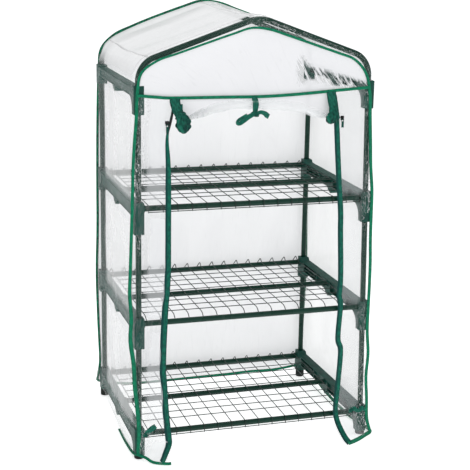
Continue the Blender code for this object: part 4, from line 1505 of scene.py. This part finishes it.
def sliders():
    for side, _ in SIDES:
        low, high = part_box(f"zip_slider_{side}")
        x = (low.x + high.x) / 2
        pull_low, pull_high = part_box(f"zip_pull_{side}")
        if side == "right":
            shift = Vector((SLIDER_SHIFT, 0, 0))
            x, pull_low, pull_high = x - SLIDER_SHIFT, pull_low - shift, pull_high - shift
        back, top = high.y, high.z
        body = block((x - 0.0052, back - 0.0048, top - 0.012), (x + 0.0052, back, top), 0.0014, 3)
        waist = [
            block((x - 0.007, back - 0.007, top - 0.0125), (x - 0.004, back + 0.002, top - 0.0065), 0.0008),
            block((x + 0.004, back - 0.007, top - 0.0125), (x + 0.007, back + 0.002, top - 0.0065), 0.0008),
        ]
        combined(body, waist)
        bridge = block((x - 0.001, low.y, top - 0.0108), (x + 0.001, back - 0.003, top - 0.0012), 0.0006)
        window_low = (x - 0.003, low.y + 0.0015, top - 0.0092)
        window = block(window_low, (x + 0.003, back - 0.0048, top - 0.0028), 0.0004)
        combined(bridge, [window])
        combined(body, [bridge], "UNION")
        body.name = body.data.name = f"{side}_slider"
        smooth(body)
        hand_over(body, f"slider_{side}", "zip_metal", "zip_metal", f"zip_slider_{side}")
        tag = block(tuple(pull_low), tuple(pull_high), 0.0005)
        hole_low = (x - 0.002, pull_low.y - 0.002, pull_high.z - 0.0078)
        hole = block(hole_low, (x + 0.002, pull_high.y + 0.002, pull_high.z - 0.0016), 0.0008)
        combined(tag, [hole])
        tag.name = tag.data.name = f"{side}_pull_tag"
        tag.data.uv_layers.active.name = "tape"
        smooth(tag)
        hand_over(tag, f"pull_{side}", "tape", "strap", f"zip_pull_{side}")


# ---------------------------------------------------------------- base ties


def base_ties():
    """The ribbons that hold the foot of the cover to the front legs, knotted round the lowest shelf tube."""
    stub = [
        at(-0.315, -0.256, 0.07), at(-0.316, -0.262, 0.076), at(-0.308, -0.264, 0.0835),
        at(-0.297, -0.265, 0.0925), at(-0.2875, -0.265, 0.0985),
    ]
    pieces = [tape_mesh("left_base_tie", stub, [0.008, 0.012, 0.0165, 0.0175, 0.015], 0.0016,
                        Vector((0.15, -1, 0.2)), "strap", 40)]
    knot = at(-0.3155, -0.26, 0.073)
    pieces.append(bunch_of_tape("left_base_knot", knot, (0.0075, 0.0065, 0.0085), (0, 0.6, 0)))
    loose = [
        at(0.3, -0.257, 0.086), at(0.312, -0.265, 0.089), at(0.326, -0.266, 0.079),
        at(0.338, -0.2655, 0.086), at(0.35, -0.263, 0.078),
    ]
    pieces.append(tape_mesh("right_base_tie", loose, [0.008, 0.013, 0.011, 0.014, 0.008], 0.0016,
                            [Vector((0, -1, 0.2)), Vector((0.3, -1, 0.6)), Vector((-0.3, -1, -0.3)),
                             Vector((0.2, -1, 0.5)), Vector((0, -1, 0))], "strap", 60))
    knot = at(0.306, -0.262, 0.083)
    pieces.append(bunch_of_tape("right_base_knot", knot, (0.009, 0.006, 0.0075), (0, -0.4, 0)))
    for piece in pieces:
        belong(piece, "frame", "tape")


brackets()
feet()
shelves()
cover()
door()
sliders()
base_ties()

# ---------------------------------------------------------------- floor, light, camera

FLOOR_HALF = 30.0


def studio():
    bpy.ops.mesh.primitive_plane_add(size=2 * FLOOR_HALF, location=(0, 0, -0.0005))
    floor = bpy.context.active_object
    floor.name = "floor"
    made, tree, shader = start_material("floor_white")
    dial(shader, Base_Color=(0.93, 0.93, 0.93, 1), Emission_Color=WHITE, Emission_Strength=0.6)
    dial(shader, Roughness=0.9, Specular_IOR_Level=0.0)
    floor.data.materials.append(made)

    world = bpy.data.worlds.new("studio")
    bpy.context.scene.world = world
    world.use_nodes = True
    tree = world.node_tree
    backdrop = tree.nodes["Background"]
    dial(backdrop, Color=WHITE, Strength=1.0)
    fill = node(tree, "Background", None, Color=(0.97, 0.985, 1.0, 1), Strength=0.62)
    seen = node(tree, "LightPath").outputs["Is Camera Ray"]
    both = node(tree, "MixShader", None, _0=seen, _1=fill.outputs[0], _2=backdrop.outputs[0])
    tree.links.new(both.outputs[0], tree.nodes["World Output"].inputs["Surface"])

    for name, place, target, size, power in (
        ("key", (-1.6, -2.6, 3.4), (0, 0, 0.6), 1.8, 18),
        ("top", (0.5, 0.6, 3.6), (0, 0, 0.4), 1.6, 20),
        ("right", (3.0, -0.6, 1.9), (0, 0, 0.6), 1.4, 10),
    ):
        data = bpy.data.lights.new(name, "AREA")
        data.size = size
        data.energy = power
        lamp = bpy.data.objects.new(name, data)
        bpy.context.scene.collection.objects.link(lamp)
        lamp.location = place
        lamp.rotation_euler = (Vector(target) - Vector(place)).to_track_quat("-Z", "Y").to_euler()
    bpy.context.scene.view_settings.view_transform = "Standard"
    bpy.context.scene.cycles.transparent_max_bounces = 64


CAMERA_PLACE = (-1.02406, -3.31071, 1.46361)
YAW, PITCH, ROLL = math.radians(-17.36394), math.radians(14.33503), math.radians(1.01372)
SENSOR = 36.0
FOCAL_SHARE = 2.5687  # the lens's focal length as a share of the sensor's width


def camera():
    ahead = Vector((-math.sin(YAW) * math.cos(PITCH), math.cos(YAW) * math.cos(PITCH), -math.sin(PITCH)))
    level = Vector((math.cos(YAW), math.sin(YAW), 0))
    up = level.cross(ahead)
    right = math.cos(ROLL) * level + math.sin(ROLL) * up
    over = -math.sin(ROLL) * level + math.cos(ROLL) * up
    data = bpy.data.cameras.new("camera")
    data.sensor_width = SENSOR
    data.lens = FOCAL_SHARE * SENSOR
    data.shift_x, data.shift_y = -0.0004, -0.0018
    data.clip_start, data.clip_end = 0.05, 100
    cam = bpy.data.objects.new("camera", data)
    bpy.context.scene.collection.objects.link(cam)
    turn = Matrix((right, over, -ahead)).transposed().to_4x4()
    turn.translation = CAMERA_PLACE
    cam.matrix_world = turn
    bpy.context.scene.camera = cam


studio()
camera()
deselect()
